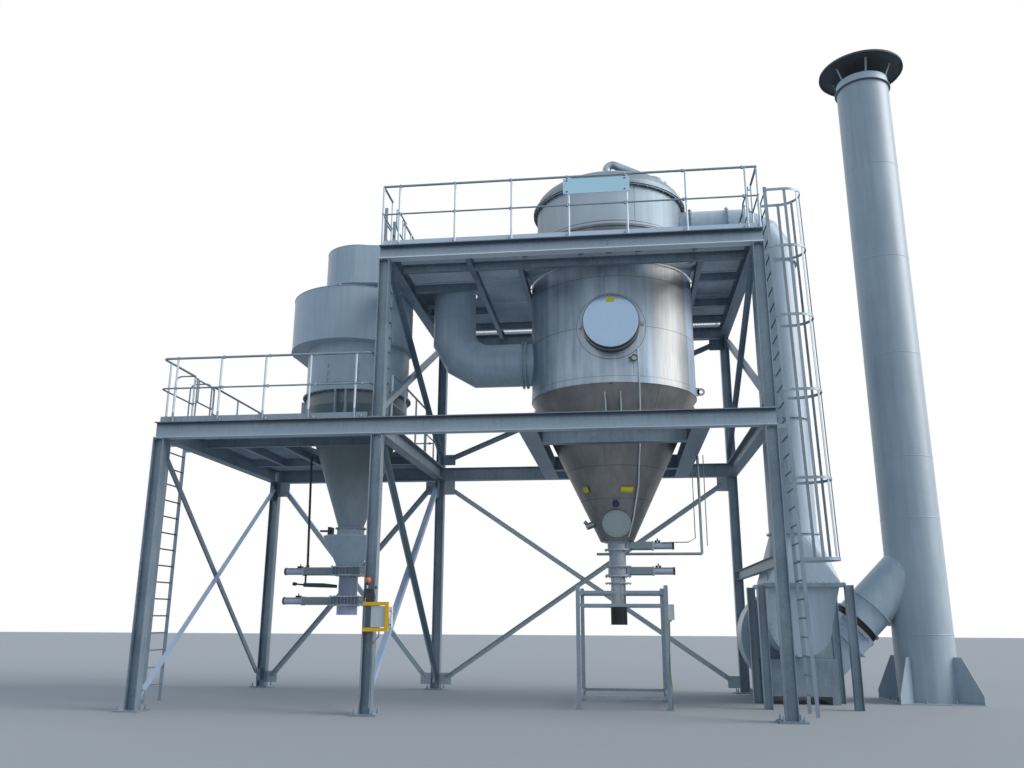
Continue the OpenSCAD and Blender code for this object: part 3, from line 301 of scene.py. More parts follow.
def brace_zones(made, shade):
    line = (made.along("y") - BRACE_Y) * BRACE_SLOPE + BRACE_Z
    inner_face = made.sum_of("MAXIMUM", made.zone(x=(0.0, 1.0)), made.zone(x=(3.0, COLUMN_X[1])))
    rising = (abs(made.along("z") - line) < BRACE_REACH) * made.zone(y=(0, 5.2), z=(0, 4.6)) * inner_face
    falling = made.zone(y=(0.36, 4.99), z=(0.3, 4.4)) * (1 - rising) * made.zone(x=(-1, 5))
    # Painted highlight on the rising braces, painted shade on the falling ones.
    painted_highlight_tone = made.mix(made.noise(2.0, detail=4), (0.36, 0.46, 0.60), (0.54, 0.66, 0.84))
    back_row = made.tint(shade, (0.60, 0.68, 0.72), 0.6, y=(5.3, 5.5))
    return made.mix(rising, made.mix(falling * 0.5, back_row, (0.26, 0.33, 0.37)), painted_highlight_tone)


brace_steel = galvanised("brace_steel", *STEEL, 0.3, brace_zones)
print("brace batches:", brace_steel.name)

# %% [markdown]
# The railing posts get a painted highlight and the toe plates of the upper deck a pale tint; the
# ladders' rungs get painted shade, growing from 0.9 m to 2.4 m up. Each zone is again a window on the
# object's own coordinates, laid over the same clouds.

# %% Painted light on the tubes
POST_ZONES = (4.95, 5.365), (5.415, 5.915), (8.13, 8.515), (8.565, 9.065)
TOE_ZONE = (7.95, 8.125)


# Painted highlight on the posts, a pale tint on the toe plates.
def rail_zones(made, shade):
    for heights in POST_ZONES:
        shade = made.tint(shade, (0.74, 0.82, 0.88), 0.75, z=heights)
    return made.tint(shade, (0.58, 0.70, 0.80), 0.8, z=TOE_ZONE)


# Painted shade on the rungs, darker higher up.
def rung_shade_zones(ladder, half):
    low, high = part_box(ladder)
    centre = (low[1] + high[1]) / 2

    def zones(made, shade):
        rungs = made.zone(y=(centre - half, centre + half)) * made.fade(made.along("z"), 0.9, 2.4)
        return made.mix(rungs * 0.85, shade, (0.07, 0.09, 0.11))
    return zones


rail_tube = galvanised("rail_tube", *TUBE, 0.3, rail_zones)
RUNG_HALF = {"ladder_left": 0.275, "ladder_inner": 0.275, "ladder_right": 0.29}
ladder_tubes = [(galvanised(ladder + "_tube", *TUBE, 0.45, rung_shade_zones(ladder, half)), [ladder])
                for ladder, half in RUNG_HALF.items()]
print("tube batches:", rail_tube.name, "and", len(ladder_tubes), "ladders")

# %% [markdown]
# A front beam catches light on the lower half of its web and on the edge of its lower flange, and
# stays dark under the upper flange. The web is flat, so soft light alone would leave it even:
# two fades up the web and one narrow window give it that form.

# %% Front beams
FLANGE_T = 0.013
FRONT_ROW = (-0.12, 0.12)


def web_zones(beams, flange_edge):
    foot, head = bottom(beams) + FLANGE_T, top(beams) - FLANGE_T

    def zones(made, shade):
        height = made.along("z")
        web = made.zone(z=(foot, head)) * made.zone(y=FRONT_ROW)
        lit = web * made.fade(height, head - 0.03, foot + 0.03) * 0.55
        shaded = web * made.fade(height, head - 0.07, head - 0.02) * 0.75
        lifted = made.mix(lit, shade, (0.42, 0.52, 0.60))
        edged = made.tint(lifted, flange_edge, 0.8, z=(foot - 0.02, foot + 0.002), y=FRONT_ROW)
        return made.mix(shaded, edged, (0.07, 0.09, 0.12))
    return zones


low_beam_steel = galvanised("lower_beam_steel", *STEEL, 0.35, web_zones("lower_beams", (0.52, 0.61, 0.68)))
up_beam_steel = galvanised("upper_beam_steel", *STEEL, 0.35, web_zones("upper_beams", (0.86, 0.93, 0.97)))
print("beam finishes:", low_beam_steel.name, up_beam_steel.name)

# %% [markdown]
# The cyclone, the ducts, the fan and the stack wear one light blue-grey paint. Paint on outdoor
# sheet is never one tone: rain leaves pale and dark streaks that run down, and the sheet's slight
# waves show in the gloss. A stretched noise makes the streaks, a large faint bump the waves.

# %% Grey paint
def painted(name, dark, light, rough=0.42, coat=0.1, zones=untouched):
    made = Finish(name)
    streaks = made.noise(2.2, made.stretch(5, 5, 0.35), detail=6)
    patches = made.noise(0.9, detail=3)
    grime = made.noise(14.0, detail=6)
    tone = streaks * 0.6 + patches * 0.5 + grime * 0.12 - 0.12
    shade = made.mix(made.ramp(tone, (0.3, 0.0), (0.72, 1.0)), dark, light)
    made.set(Base_Color=zones(made, shade), Roughness=patches * 0.18 + rough - 0.09, Coat_Weight=coat,
             Coat_Roughness=0.35, Normal=made.bump(made.noise(1.6, detail=2), 0.35, 0.03))
    return made.material


def stack_zones(made, shade):
    mouth = made.tint(shade, (0.64, 0.74, 0.78), 0.7, z=(12.918, 13.2))
    return made.tint(mouth, (0.09, 0.11, 0.17), z=(12.89, 12.918))


# Painted shade under the lower deck: the cone grows darker towards its top.
def cone_deck_shade(made, shade):
    return made.mix(made.fade(made.along("z"), 3.1, 4.3) * 0.8, shade, (0.15, 0.175, 0.17))


paint = painted("grey_paint", (0.39, 0.465, 0.53), (0.53, 0.615, 0.68))
stack_paint = painted("stack_paint", (0.34, 0.405, 0.455), (0.46, 0.53, 0.58), zones=stack_zones)
cone_paint = painted("cone_paint", (0.33, 0.39, 0.43), (0.45, 0.52, 0.56), zones=cone_deck_shade)
motor_paint = painted("motor_paint", (0.13, 0.17, 0.20), (0.22, 0.26, 0.30))
print("paints:", paint.name, stack_paint.name, cone_paint.name, motor_paint.name)

# %% [markdown]
# The slide gates are bought parts with a lilac cylinder and a dark guide, and the stack's cap and
# the control guard have two colours each. Each is one solid of the frame, so windows along X and Z
# part the colours.

# %% Paint of the small machines
def dust_zones(made, shade):
    cylinder = made.tint(shade, (0.66, 0.67, 0.84), 0.8, x=(1, 1.80))
    guide = made.tint(cylinder, (0.25, 0.30, 0.32), x=(1.80, 2.38))
    pipe = made.tint(guide, (0.22, 0.26, 0.36), 0.9, x=(2.38, 4), z=(1.88, 2.26))
    return made.tint(pipe, (0.46, 0.49, 0.64), x=(2.38, 4), z=(1.4, 1.70))


def gate_zones(made, shade):
    guide = made.tint(shade, (0.27, 0.34, 0.36), x=(8.09, 8.56))
    return made.tint(guide, (0.66, 0.70, 0.84), 0.7, x=(8.56, 9.2))


def cap_zones(made, shade):
    return made.tint(shade, (0.38, 0.42, 0.44), z=(12.9, 13.368))


def guard_zones(made, shade):
    return made.tint(shade, (0.14, 0.18, 0.23), x=(3.7, 3.99), y=(-0.13, 0), z=(1.33, 1.665))


valve_paint = painted("valve_paint", (0.40, 0.42, 0.47), (0.55, 0.57, 0.61), 0.38, zones=gate_zones)
dust_paint = painted("dust_valve_paint", (0.36, 0.39, 0.44), (0.50, 0.53, 0.58), 0.38, zones=dust_zones)
dark_paint = painted("dark_paint", (0.025, 0.032, 0.045), (0.065, 0.08, 0.10), 0.6, 0)
cap_paint = painted("cap_paint", (0.025, 0.03, 0.04), (0.065, 0.075, 0.09), 0.6, 0, cap_zones)
yellow_paint = painted("yellow_paint", (0.95, 0.48, 0.004), (1.0, 0.60, 0.008), 0.4, zones=guard_zones)
pale_plastic = painted("pale_plastic", (0.58, 0.61, 0.60), (0.72, 0.75, 0.74), 0.45, 0)
print("machine paints:", valve_paint.name, dust_paint.name, cap_paint.name, yellow_paint.name)

# %% [markdown]
# The vessel is bare stainless sheet with a milled surface. It mirrors in blurred, vertical
# streaks, and each sheet reflects a little differently. Noise that is squeezed round the vessel
# and stretched up it varies the tone, and a very fine one, squeezed along Z, the roughness.

# %% Stainless sheet
def stainless(name, dark, light, rough, streaky=1.0, metallic=1.0, zones=untouched):
    made = Finish(name)
    streaks = made.noise(3.4, made.stretch(2.2, 2.2, 0.16), detail=5)
    blotches = made.noise(2.3, detail=4, rough=0.6)
    scratches = made.noise(40.0, made.stretch(0.25, 0.25, 6), detail=3)
    tone = streaks * (0.9 * streaky) + blotches * 0.45 - 0.2 * streaky
    shade = made.mix(made.ramp(tone, (0.25, 0.0), (0.75, 1.0)), dark, light)
    made.set(Base_Color=zones(made, shade), Metallic=metallic,
             Roughness=blotches * 0.2 + scratches * 0.08 + rough - 0.14,
             Normal=made.bump(made.noise(1.1, made.stretch(1, 1, 0.5), detail=2), 0.5, 0.03))
    return made.material


inox = stainless("stainless_sheet", (0.19, 0.25, 0.32), (0.40, 0.49, 0.585), 0.42)
# The cone's warm grey stands in for the ground that it mirrors: a painted reflection.
cone_inox = stainless("stainless_cone", (0.28, 0.27, 0.265), (0.49, 0.475, 0.46), 0.46, 0.45)
door_inox = stainless("stainless_door", (0.50, 0.55, 0.54), (0.68, 0.74, 0.73), 0.5, 0.3, 0.4)
inox_plain = stainless("stainless_parts", (0.26, 0.30, 0.34), (0.42, 0.47, 0.52), 0.38, 0.5)
bright = stainless("bright_disc", (0.27, 0.39, 0.55), (0.32, 0.45, 0.64), 0.22, 0.2)
print("stainless:", inox.name, cone_inox.name, door_inox.name, inox_plain.name, bright.name)

# %% [markdown]
# Bare metal shows what stands round it: a warm pale band in front and a cool one beside it, painted
# reflections, while the upper deck casts a painted shadow on the shell's top. The studio has none of
# that, so the bands are painted in by bearing, the angle of a point round the vessel's own axis, and
# the shadow by height. They belong to the vessel, not to the camera.

# %% Bands round the vessel
def sheet_zones(made, shade):
    turn = made.bearing(VESSEL)
    pale = made.fade(turn, -66, -56) * made.fade(turn, -26, -31)
    cool = made.fade(turn, -31, -26) * made.fade(turn, 20, 0)
    toned = made.mix(pale * 0.75, made.mix(cool * 0.55, shade, (0.56, 0.69, 0.84)), (0.41, 0.405, 0.39))
    fine = made.noise(1.0, made.stretch(38, 38, 1.5))
    toned = made.mix(made.ramp(fine, (0.42, 0.0), (0.62, 0.35)) * pale, toned, (0.26, 0.25, 0.25))
    # Painted shadow of the upper deck, darkest at the shell's top.
    deck_shadow = made.fade(made.along("z"), 8.0, 8.55) * made.zone(z=(8.0, 8.69))
    return made.mix(deck_shadow * 0.75, toned, (0.09, 0.095, 0.10))


def top_zones(made, shade):
    turn = made.bearing(VESSEL)
    # Painted reflection: a cool band on the front and front left of the top.
    painted_cool_reflection = made.fade(turn, -60, -78) * made.fade(turn, -175, -105) * made.zone(z=(8.6, 9.56))
    return made.mix(painted_cool_reflection * 0.75, shade, (0.37, 0.46, 0.55))


shell_inox = stainless("stainless_shell", (0.21, 0.28, 0.355), (0.42, 0.52, 0.62), 0.5, zones=sheet_zones)
top_inox = stainless("stainless_top", (0.19, 0.235, 0.275), (0.31, 0.375, 0.43), 0.6, 0.6,
                     zones=top_zones)
print("vessel bands:", shell_inox.name, top_inox.name)

# %% [markdown]
# The last finishes are small ones: rubber, the orange lamp, the plain yellow tags and the pale
# name board, which stays bare. One fine noise is enough for pieces that show only a few pixels wide.

# %% Small finishes
def plain(name, shade, rough, speckle=0.12, metallic=0.0):
    made = Finish(name)
    fine = made.noise(30.0, detail=4)
    low = tuple(c * (1 - speckle) for c in shade)
    high = tuple(min(c * (1 + speckle), 1) for c in shade)
    made.set(Base_Color=made.mix(fine, low, high), Metallic=metallic, Roughness=fine * 0.2 + rough - 0.1)
    return made.material


rubber = plain("black_rubber", (0.018, 0.018, 0.02), 0.62, 0.3)
orange = plain("beacon_orange", (0.85, 0.16, 0.02), 0.3)
tag_yellow = plain("tag_yellow", (0.78, 0.70, 0.03), 0.45)
board_blue = plain("board_pale_blue", (0.64, 0.90, 1.0), 0.4, 0.04)
white_cable = plain("white_cable", (0.82, 0.85, 0.87), 0.45, 0.1)
cable_green = plain("cable_green", (0.28, 0.36, 0.06), 0.5, 0.3)
sensor_blue = plain("sensor_blue", (0.05, 0.06, 0.13), 0.45, 0.2)
seam_dark = plain("seam_line", (0.13, 0.14, 0.15), 0.5, 0.2, 0.6)
print("small finishes ready")

# %% [markdown]
# Every solid of the frame keeps its shape and only gets a finish. The record names a material
# slot for each node, so a short table from slot to finish dresses them all, and a second table
# gives some nodes a finish of their own.

# %% Dress the solids
BY_SLOT = {"galvanised_steel": steel, "galvanised_tube": tube, "grating": mesh_steel,
           "grey_paint": paint, "stainless": inox, "valve_grey": valve_paint,
           "dark_paint": dark_paint, "motor_paint": motor_paint, "box_plastic": pale_plastic,
           "rubber": rubber, "guard_yellow": yellow_paint}
OWN = [(stack_paint, ["stack_shell", "stack_base"]), (cap_paint, ["stack_cap"]),
       (inox_plain, ["vessel_chute", "vessel_brackets", "purge_pipe"]),
       (shell_inox, ["vessel_shell"]), (cone_inox, ["vessel_cone"]),
       (top_inox, ["vessel_top", "vessel_lid"]), (cone_paint, ["cyclone_cone"]),
       (dust_paint, ["dust_valve_upper", "dust_valve_lower"]), (brace_steel, ["lower_braces"]),
       (low_beam_steel, ["lower_beams"]), (up_beam_steel, ["upper_beams"]),
       (rail_tube, ["lower_rail_long", "lower_rail_short", "upper_rail_long", "upper_rail_short"]),
       *ladder_tubes]
SLOT_OF = {part["node"]: part["material_slot"] for part in frame["record"]["subparts"]}
for name, node in frame["nodes"].items():
    node.data.materials.clear()
    node.data.materials.append(BY_SLOT[SLOT_OF[name]])
for finish, names in OWN:
    for name in names:
        frame["nodes"][name].data.materials[0] = finish
print("dressed", len(SLOT_OF), "nodes,", len(OWN), "finishes of their own")

# %% [markdown]
# Fine parts repeat a few simple forms. A separate object for each bolt would be slow and hard to
# handle, so this builder collects points and faces in one mesh: a deck or a bolt pattern becomes
# one piece with one finish.

# %% A builder for flat forms
class Flat:
    def __init__(self):
        self.points, self.faces, self.smooth = [], [], []

    def add(self, points, faces, smooth=False):
        base = len(self.points)
        self.points += [tuple(p) for p in points]
        self.faces += [tuple(base + i for i in f) for f in faces]
        self.smooth += [smooth] * len(faces)

    def box(self, low, high):
        (x0, y0, z0), (x1, y1, z1) = low, high
        corners = [(x, y, z) for z in (z0, z1) for y in (y0, y1) for x in (x0, x1)]
        self.add(corners, [(0, 2, 3, 1), (4, 5, 7, 6), (0, 1, 5, 4), (2, 6, 7, 3), (0, 4, 6, 2),
                           (1, 3, 7, 5)])

    def boxes(self, *pairs):
        for low, high in pairs:
            self.box(low, high)

    def slab(self, outline, z0, z1, matrix):
        n = len(outline)
        points = [matrix @ Vector((x, y, z)) for z in (z0, z1) for x, y in outline]
        faces = [tuple(range(n - 1, -1, -1)), tuple(range(n, 2 * n))]
        self.add(points, faces + [(i, (i + 1) % n, n + (i + 1) % n, n + i) for i in range(n)])

    def shape(self, name, finish):
        mesh = bpy.data.meshes.new(name)
        mesh.from_pydata(self.points, [], self.faces)
        mesh.polygons.foreach_set("use_smooth", self.smooth)
        work = bmesh.new()
        work.from_mesh(mesh)
        bmesh.ops.recalc_face_normals(work, faces=work.faces)
        work.to_mesh(mesh)
        work.free()
        mesh.materials.append(finish)
        made = bpy.data.objects.new(name, mesh)
        scene.collection.objects.link(made)
        print(name, "faces:", len(mesh.polygons))
        return made

    def piece(self, name, finish, slot):
        made = self.shape(name, finish)
        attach(made, "plant")
        return made


# %% [markdown]
# Rods, pipes, rings and bolts are round. Each is a row of circles joined by faces: a rod has two, a
# pipe one at every point of its path, and a turned part one for every point of its profile. Round
# sides get smooth shading, flanges stay flat so that their edges show.

# %% A builder for round forms
def polar(radius, degrees, z=0.0):
    a = math.radians(degrees)
    return Vector((radius * math.cos(a), radius * math.sin(a), z))


class Build(Flat):
    def join(self, rows, count, closed, smooth):
        faces = []
        for k in range(len(rows) - 1):
            for i in range(count if closed else count - 1):
                j = (i + 1) % count
                faces.append((k * count + i, k * count + j, (k + 1) * count + j, (k + 1) * count + i))
        self.add([p for row in rows for p in row], faces, smooth)

    def loft(self, rings, smooth=True, close_ends=True):
        n = len(rings[0])
        self.join(rings, n, True, smooth)
        if close_ends:
            self.add(rings[0], [tuple(range(n - 1, -1, -1))])
            self.add(rings[-1], [tuple(range(n))])

    def ring(self, at, turn, radius, sides):
        return [at + turn @ polar(radius, 360 * i / sides) for i in range(sides)]

    def rod(self, start, end, radius, sides=8, end_radius=None):
        start, end = Vector(start), Vector(end)
        turn = (end - start).to_track_quat("Z", "Y")
        self.loft([self.ring(start, turn, radius, sides), self.ring(end, turn, end_radius or radius, sides)])

    def path(self, points, radius, sides=8):
        points = [Vector(p) for p in points]
        rings = []
        for k, at in enumerate(points):
            way = points[min(k + 1, len(points) - 1)] - points[max(k - 1, 0)]
            rings.append(self.ring(at, way.to_track_quat("Z", "X"), radius, sides))
        self.loft(rings)

    def turned(self, profile, centre, axis="Z", sides=48, from_deg=0, to_deg=360, smooth=True):
        closed = to_deg - from_deg >= 360
        count = sides if closed else sides + 1
        rows = []
        for r, h in profile:
            row = []
            for i in range(count):
                u, v, _ = polar(r, from_deg + (to_deg - from_deg) * i / sides)
                row.append(Vector(centre) + Vector({"Z": (u, v, h), "X": (h, u, v), "Y": (u, h, v)}[axis]))
            rows.append(row)
        self.join(rows, count, closed, smooth)

    def hoop(self, centre, inner, outer, low, high, axis="Z", sides=48):
        section = [(inner, low), (outer, low), (outer, high), (inner, high), (inner, low)]
        self.turned(section, centre, axis, sides, smooth=False)

    def bolt(self, at, along, size=0.012, head=0.009):
        at, along = Vector(at), Vector(along).normalized()
        for start, end, radius, sides in ((0, 0.3, 1.5, 10), (0.3, 1.3, 1, 6), (1.3, 1.9, 0.5, 6)):
            self.rod(at + along * (head * start), at + along * (head * end), size * radius, sides)

    def bolt_circle(self, centre, radius, count, along, size=0.011, head=0.01, phase=0.0):
        along = Vector(along).normalized()
        turn = along.to_track_quat("Z", "Y")
        for i in range(count):
            spot = Vector(centre) + turn @ polar(radius, 360 * (i + phase) / count)
            self.bolt(spot, along, size, head)


print("builders ready")

# %% [markdown]
# Open grating is a comb of thin upright bars with twisted cross rods. Seen from below at a slant
# it closes to a dark sheet with bright stripes, which no plain plate can show, so the bars are
# real geometry. Each bar is cut where it meets a round hole, by plain circle sums.

# %% Bars round the holes
SHORTEST_BAR = 0.02


def clear_runs(low, high, cross, along_y, holes):
    runs = [(low, high)]
    for hole_x, hole_y, radius in holes:
        middle, aside = (hole_y, hole_x) if along_y else (hole_x, hole_y)
        off = cross - aside
        if abs(off) >= radius:
            continue
        half = math.sqrt(radius * radius - off * off)
        cut = []
        for start, end in runs:
            if middle + half <= start or middle - half >= end:
                cut.append((start, end))
                continue
            if middle - half > start:
                cut.append((start, middle - half))
            if middle + half < end:
                cut.append((middle + half, end))
        runs = cut
    return [(start, end) for start, end in runs if end - start > SHORTEST_BAR]


def steps(low, high, pitch):
    count = max(int((high - low) / pitch), 1)
    return [low + (high - low) * i / count for i in range(count + 1)]


print("one bar past a hole:", clear_runs(0, 3, 0, False, [(1.5, 0, 0.5)]))

# %% [markdown]
# A deck is made of panels with a small gap between them. Most panels have their bars along X. The
# front and back rows of the upper deck are turned, which is why they look lighter from below.

# %% Grating panels
GRATING_T = top("lower_grating") - LOW_TOP
BAR_PITCH, ROD_PITCH, BAR_T = 0.034, 0.1, 0.003
CROSS_T, CROSS_DROP, PANEL_GAP = 0.008, 0.002, 0.003


def bar_along_x(made, x0, x1, y, z0, z1):
    made.box((x0, y - BAR_T / 2, z0), (x1, y + BAR_T / 2, z1))


def bar_along_y(made, y0, y1, x, z0, z1):
    made.box((x - BAR_T / 2, y0, z0), (x + BAR_T / 2, y1, z1))


def panel_along_x(made, x0, x1, y0, y1, z, holes):
    for y in steps(y0, y1, BAR_PITCH):
        for near, far in clear_runs(x0, x1, y, False, holes):
            bar_along_x(made, near, far, y, z, z + GRATING_T)
    for x in steps(x0, x1, ROD_PITCH):
        foot, drop = (z, 0) if x in (x0, x1) else (z + GRATING_T - CROSS_T, CROSS_DROP)
        for near, far in clear_runs(y0, y1, x, True, holes):
            bar_along_y(made, near, far, x, foot, z + GRATING_T - drop)


def panel_along_y(made, x0, x1, y0, y1, z, holes):
    for x in steps(x0, x1, BAR_PITCH):
        for near, far in clear_runs(y0, y1, x, True, holes):
            bar_along_y(made, near, far, x, z, z + GRATING_T)
    for y in (y0, (y0 + y1) / 2, y1):
        bar_along_x(made, x0, x1, y, z + GRATING_T - CROSS_T, z + GRATING_T)


def grating(name, x_cuts, y_cuts, z, holes, turned_rows=()):
    made = Build()
    for x0, x1 in zip(x_cuts, x_cuts[1:]):
        for row, (y0, y1) in enumerate(zip(y_cuts, y_cuts[1:])):
            panel = panel_along_y if row in turned_rows else panel_along_x
            panel(made, x0 + PANEL_GAP, x1 - PANEL_GAP, y0 + PANEL_GAP, y1 - PANEL_GAP, z, holes)
    for x, y, radius in holes:
        made.hoop((x, y, z), radius - 0.004, radius, 0, GRATING_T, sides=64)
    return made.piece(name, mesh_steel, slot="grating")


low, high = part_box("lower_grating")
lower_bars = grating("lower_grating_bars", (low[0], 0.8, 1.6, 2.685, high[0]),
                     (low[1], 1.0, 2.67, 4.3, high[1]), LOW_TOP, [(CYCLONE.x, CYCLONE.y, 0.9)])
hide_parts("lower_grating")
low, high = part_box("upper_grating")
UPPER_X = (low[0], 5.31, 6.34, 7.37, 8.40, 9.43, high[0])
UPPER_Y = (low[1], 0.76, 1.835, 3.143, 4.70, high[1])
upper_bars = grating("upper_grating_bars", UPPER_X, UPPER_Y, UP_TOP,
                     [(VESSEL.x, VESSEL.y, 1.64), (4.68, LINE_Y, 0.46)], turned_rows=(0, 4))
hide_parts("upper_grating")

# %% [markdown]
# Flat bars close the seams between the panels of the upper deck. The long ones are pale, painted light
# for the light that shows at those seams; the short ones are dull. Boxes are enough for them, because
# only their undersides show, from below.

# %% Joint bars and seam plates
JOINT_HALF, SEAM_HALF, DECK_CLEAR = 0.02, 0.055, 1.7
bars, plates = Build(), Build()
for y in UPPER_Y[2:4]:
    for x0, x1 in ((UPPER_X[0], VESSEL.x - DECK_CLEAR), (VESSEL.x + DECK_CLEAR, UPPER_X[-1])):
        bars.box((x0, y - JOINT_HALF, UP_TOP - 0.004), (x1, y + JOINT_HALF, UP_TOP - 0.001))
for x in UPPER_X[1:-1] + (VESSEL.x,):
    for y0, y1 in (UPPER_Y[:2], UPPER_Y[-2:]):
        plates.box((x - SEAM_HALF, y0 + 0.01, UP_TOP - 0.004), (x + SEAM_HALF, y1 - 0.01, UP_TOP - 0.001))
# The pale joint bars are painted light at the seams.
bars.piece("grating_joint_bars", pale_zinc, slot="grating")
plates.piece("grating_seam_plates", steel, slot="grating")

# %% [markdown]
# Steelwork comes in finished lengths and is bolted together on site. Each base plate sits over
# four anchors with nuts, and the stack's over eight. The anchors could be copies of one object, but
# one mesh is lighter.

# %% Anchors
BASE_T, STACK_BASE_T, ANCHOR_OFF, ANCHOR_R, R_ANCHORS = 0.025, 0.015, 0.15, 0.0115, 0.69
CORNERS = [(sx, sy) for sx in (-1, 1) for sy in (-1, 1)]
FEET = [(x, y) for x in COLUMN_X for y in ROW_Y]
anchors = Build()


def anchor(at, height, collars):
    anchors.rod(at, at + UP * height, ANCHOR_R, 10)
    for low, high, radius, sides in collars:
        anchors.rod(at + UP * low, at + UP * high, radius, sides)


WASHER = (BASE_T, BASE_T + 0.005, 0.028, 16)
NUT = (BASE_T + 0.005, BASE_T + 0.026, 0.02, 6)
for cx, cy in FEET:
    for sx, sy in CORNERS:
        at = Vector((cx + sx * ANCHOR_OFF, cy + sy * ANCHOR_OFF, 0.001))
        anchor(at, 0.095, (WASHER, NUT))
for i in range(8):
    anchor(STACK + polar(R_ANCHORS, 22.5 + 45 * i, 0.001), 0.08, [(STACK_BASE_T, 0.042, 0.021, 6)])
anchors.piece("anchor_bolts", steel, slot="galvanised_steel")

# %% [markdown]
# Each beam rests on a cap plate with four bolts, and each brace ends on a gusset with three. The
# brace's own direction places its bolts, so the same function serves every bay.

# %% Bolts of the steelwork
PLATE_T, HALF_COLUMN, HALF_WEB = 0.015, 0.095, 0.0045
BRACE_PLATE_T, BOLTS_ALONG = 0.0155, (0.05, 0.11, 0.17)
joints = Build()
for cx, cy in FEET:
    levels = [(LOW_H - 0.016, -1), (LOW_H + 0.016, 1)]
    if cx > COLUMN_X[0]:
        levels.append((UP_H - 0.016, -1))
    for sx, sy in CORNERS:
        for z, way in levels:
            joints.bolt((cx + sx * 0.055, cy + sy * 0.06, z), (0, 0, way), 0.014, 0.012)
for cx in COLUMN_X[1:]:
    for z in (LOW_TOP + 0.06, UP_H - 0.1):
        for dy in (-0.045, 0.045):
            joints.bolt((cx - 0.097, dy, z), (-1, 0, 0), 0.013, 0.01)


def brace_bolts(corner, along, width, rise, ends, out, both=True):
    corner, along, out = Vector(corner), Vector(along), Vector(out)
    near, low_end, high_end = ends
    runs = [(near, width - near, 1)]
    if both:
        runs.append((width - near, near, -1))
    for from_side, to_side, face in runs:
        start = corner + along * from_side + UP * low_end
        end = corner + along * to_side + UP * (rise - high_end)
        way = (end - start).normalized()
        for tip, step in ((start, 1), (end, -1)):
            for along_brace in BOLTS_ALONG:
                at = tip + way * (step * along_brace)
                joints.bolt(at + out * (face * BRACE_PLATE_T), out * face, 0.014, 0.011)
                joints.bolt(at - out * (face * 0.005), out * -face, 0.014, 0.011)


DEPTH = ROW_Y[1] - 2 * HALF_WEB
UP_FLOOR = LOW_TOP + PLATE_T
LOW_RISE, UP_RISE = LOW_H - PLATE_T, UP_H - PLATE_T - UP_FLOOR
for column, way, floor_z, rise, ends in (
        (0, 1, 0, LOW_RISE, (0.2055, 0.27, 0.20)), (1, -1, 0, LOW_RISE, (0.2055, 0.27, 0.20)),
        (1, -1, UP_FLOOR, UP_RISE, (0.2055, 0.18, 0.13)), (2, 1, UP_FLOOR, UP_RISE, (0.2055, 0.18, 0.13))):
    brace_bolts((COLUMN_X[column], HALF_WEB, floor_z), (0, 1, 0), DEPTH, rise, ends, (way, 0, 0))
for bay, floor_z, rise, ends, both in (
        (0, 0, LOW_RISE, (0.12, 0.22, 0.15), True), (1, 0, LOW_RISE, (0.12, 0.22, 0.15), True),
        (1, UP_FLOOR, UP_RISE, (0.12, 0.18, 0.13), False)):
    x0, x1 = COLUMN_X[bay] + HALF_COLUMN, COLUMN_X[bay + 1] - HALF_COLUMN
    brace_bolts((x0, ROW_Y[1], floor_z), (1, 0, 0), x1 - x0, rise, ends, (0, -1, 0), both)
for z in (7.80, 7.86):
    joints.bolt((7.872, -0.005, z), (0, -1, 0), 0.015, 0.013)
joints.piece("steelwork_bolts", tube, slot="galvanised_steel")

# %% [markdown]
# The railings are tubes on flat feet, each foot with two bolts into the beam's edge, and each post
# carries its rails in short collars. Both decks share the same heights, so one loop serves both.

# %% Railing feet and collars
LOW_POSTS = (0.21, 1.07, 1.91, 2.76, 3.61)
UP_POSTS = (4.16, 5.157, 6.167, 7.177, 8.194, 9.206, 10.228)
RAIL_Y, FOOT_T, R_POST = -0.06, 0.01, 0.0192
RAIL_HEIGHTS = (0.605, 1.155)
feet = Build()
for posts, deck in ((LOW_POSTS, LOW_TOP), (UP_POSTS, UP_TOP)):
    for x in posts:
        for row in (RAIL_Y, ROW_Y[1] - RAIL_Y):
            for dx in (-0.033, 0.033):
                feet.bolt((x + dx, row, deck + FOOT_T), (0, 0, 1), 0.01, 0.009)
            feet.hoop((x, row, deck + FOOT_T), R_POST, 0.024, 0, 0.035, sides=16)
            for rail in RAIL_HEIGHTS:
                feet.hoop((x, row, deck + rail), R_POST, 0.0225, -0.024, 0.024, sides=16)
feet.piece("railing_feet", tube, slot="galvanised_tube")

# %% [markdown]
# The name board is a pale-blue sheet with two folded edges. It stays bare. It hangs from two posts
# by four bolts, each through a small clip behind the sheet.

# %% Name board
BOARD_X, BOARD_Z = (7.11, 8.28), (8.75, 9.04)
BOARD_FRONT, BOARD_BACK, FOLD = RAIL_Y - 0.026, RAIL_Y - 0.023, 0.003
board, fixings = Build(), Build()
board.box((BOARD_X[0], BOARD_FRONT, BOARD_Z[0]), (BOARD_X[1], BOARD_BACK, BOARD_Z[1]))
for z in BOARD_Z:
    board.box((BOARD_X[0], BOARD_FRONT, z - FOLD), (BOARD_X[1], RAIL_Y - 0.012, z))
for x in UP_POSTS[3:5]:
    for z in (BOARD_Z[0] + 0.04, BOARD_Z[1] - 0.04):
        fixings.box((x - 0.03, RAIL_Y - 0.022, z - 0.012), (x + 0.03, RAIL_Y - 0.018, z + 0.012))
        fixings.bolt((x, BOARD_FRONT, z), (0, -1, 0), 0.01, 0.009)
board.piece("name_board_bare", board_blue, slot="galvanised_tube")
fixings.piece("name_board_bolts", dark_paint, slot="dark_paint")

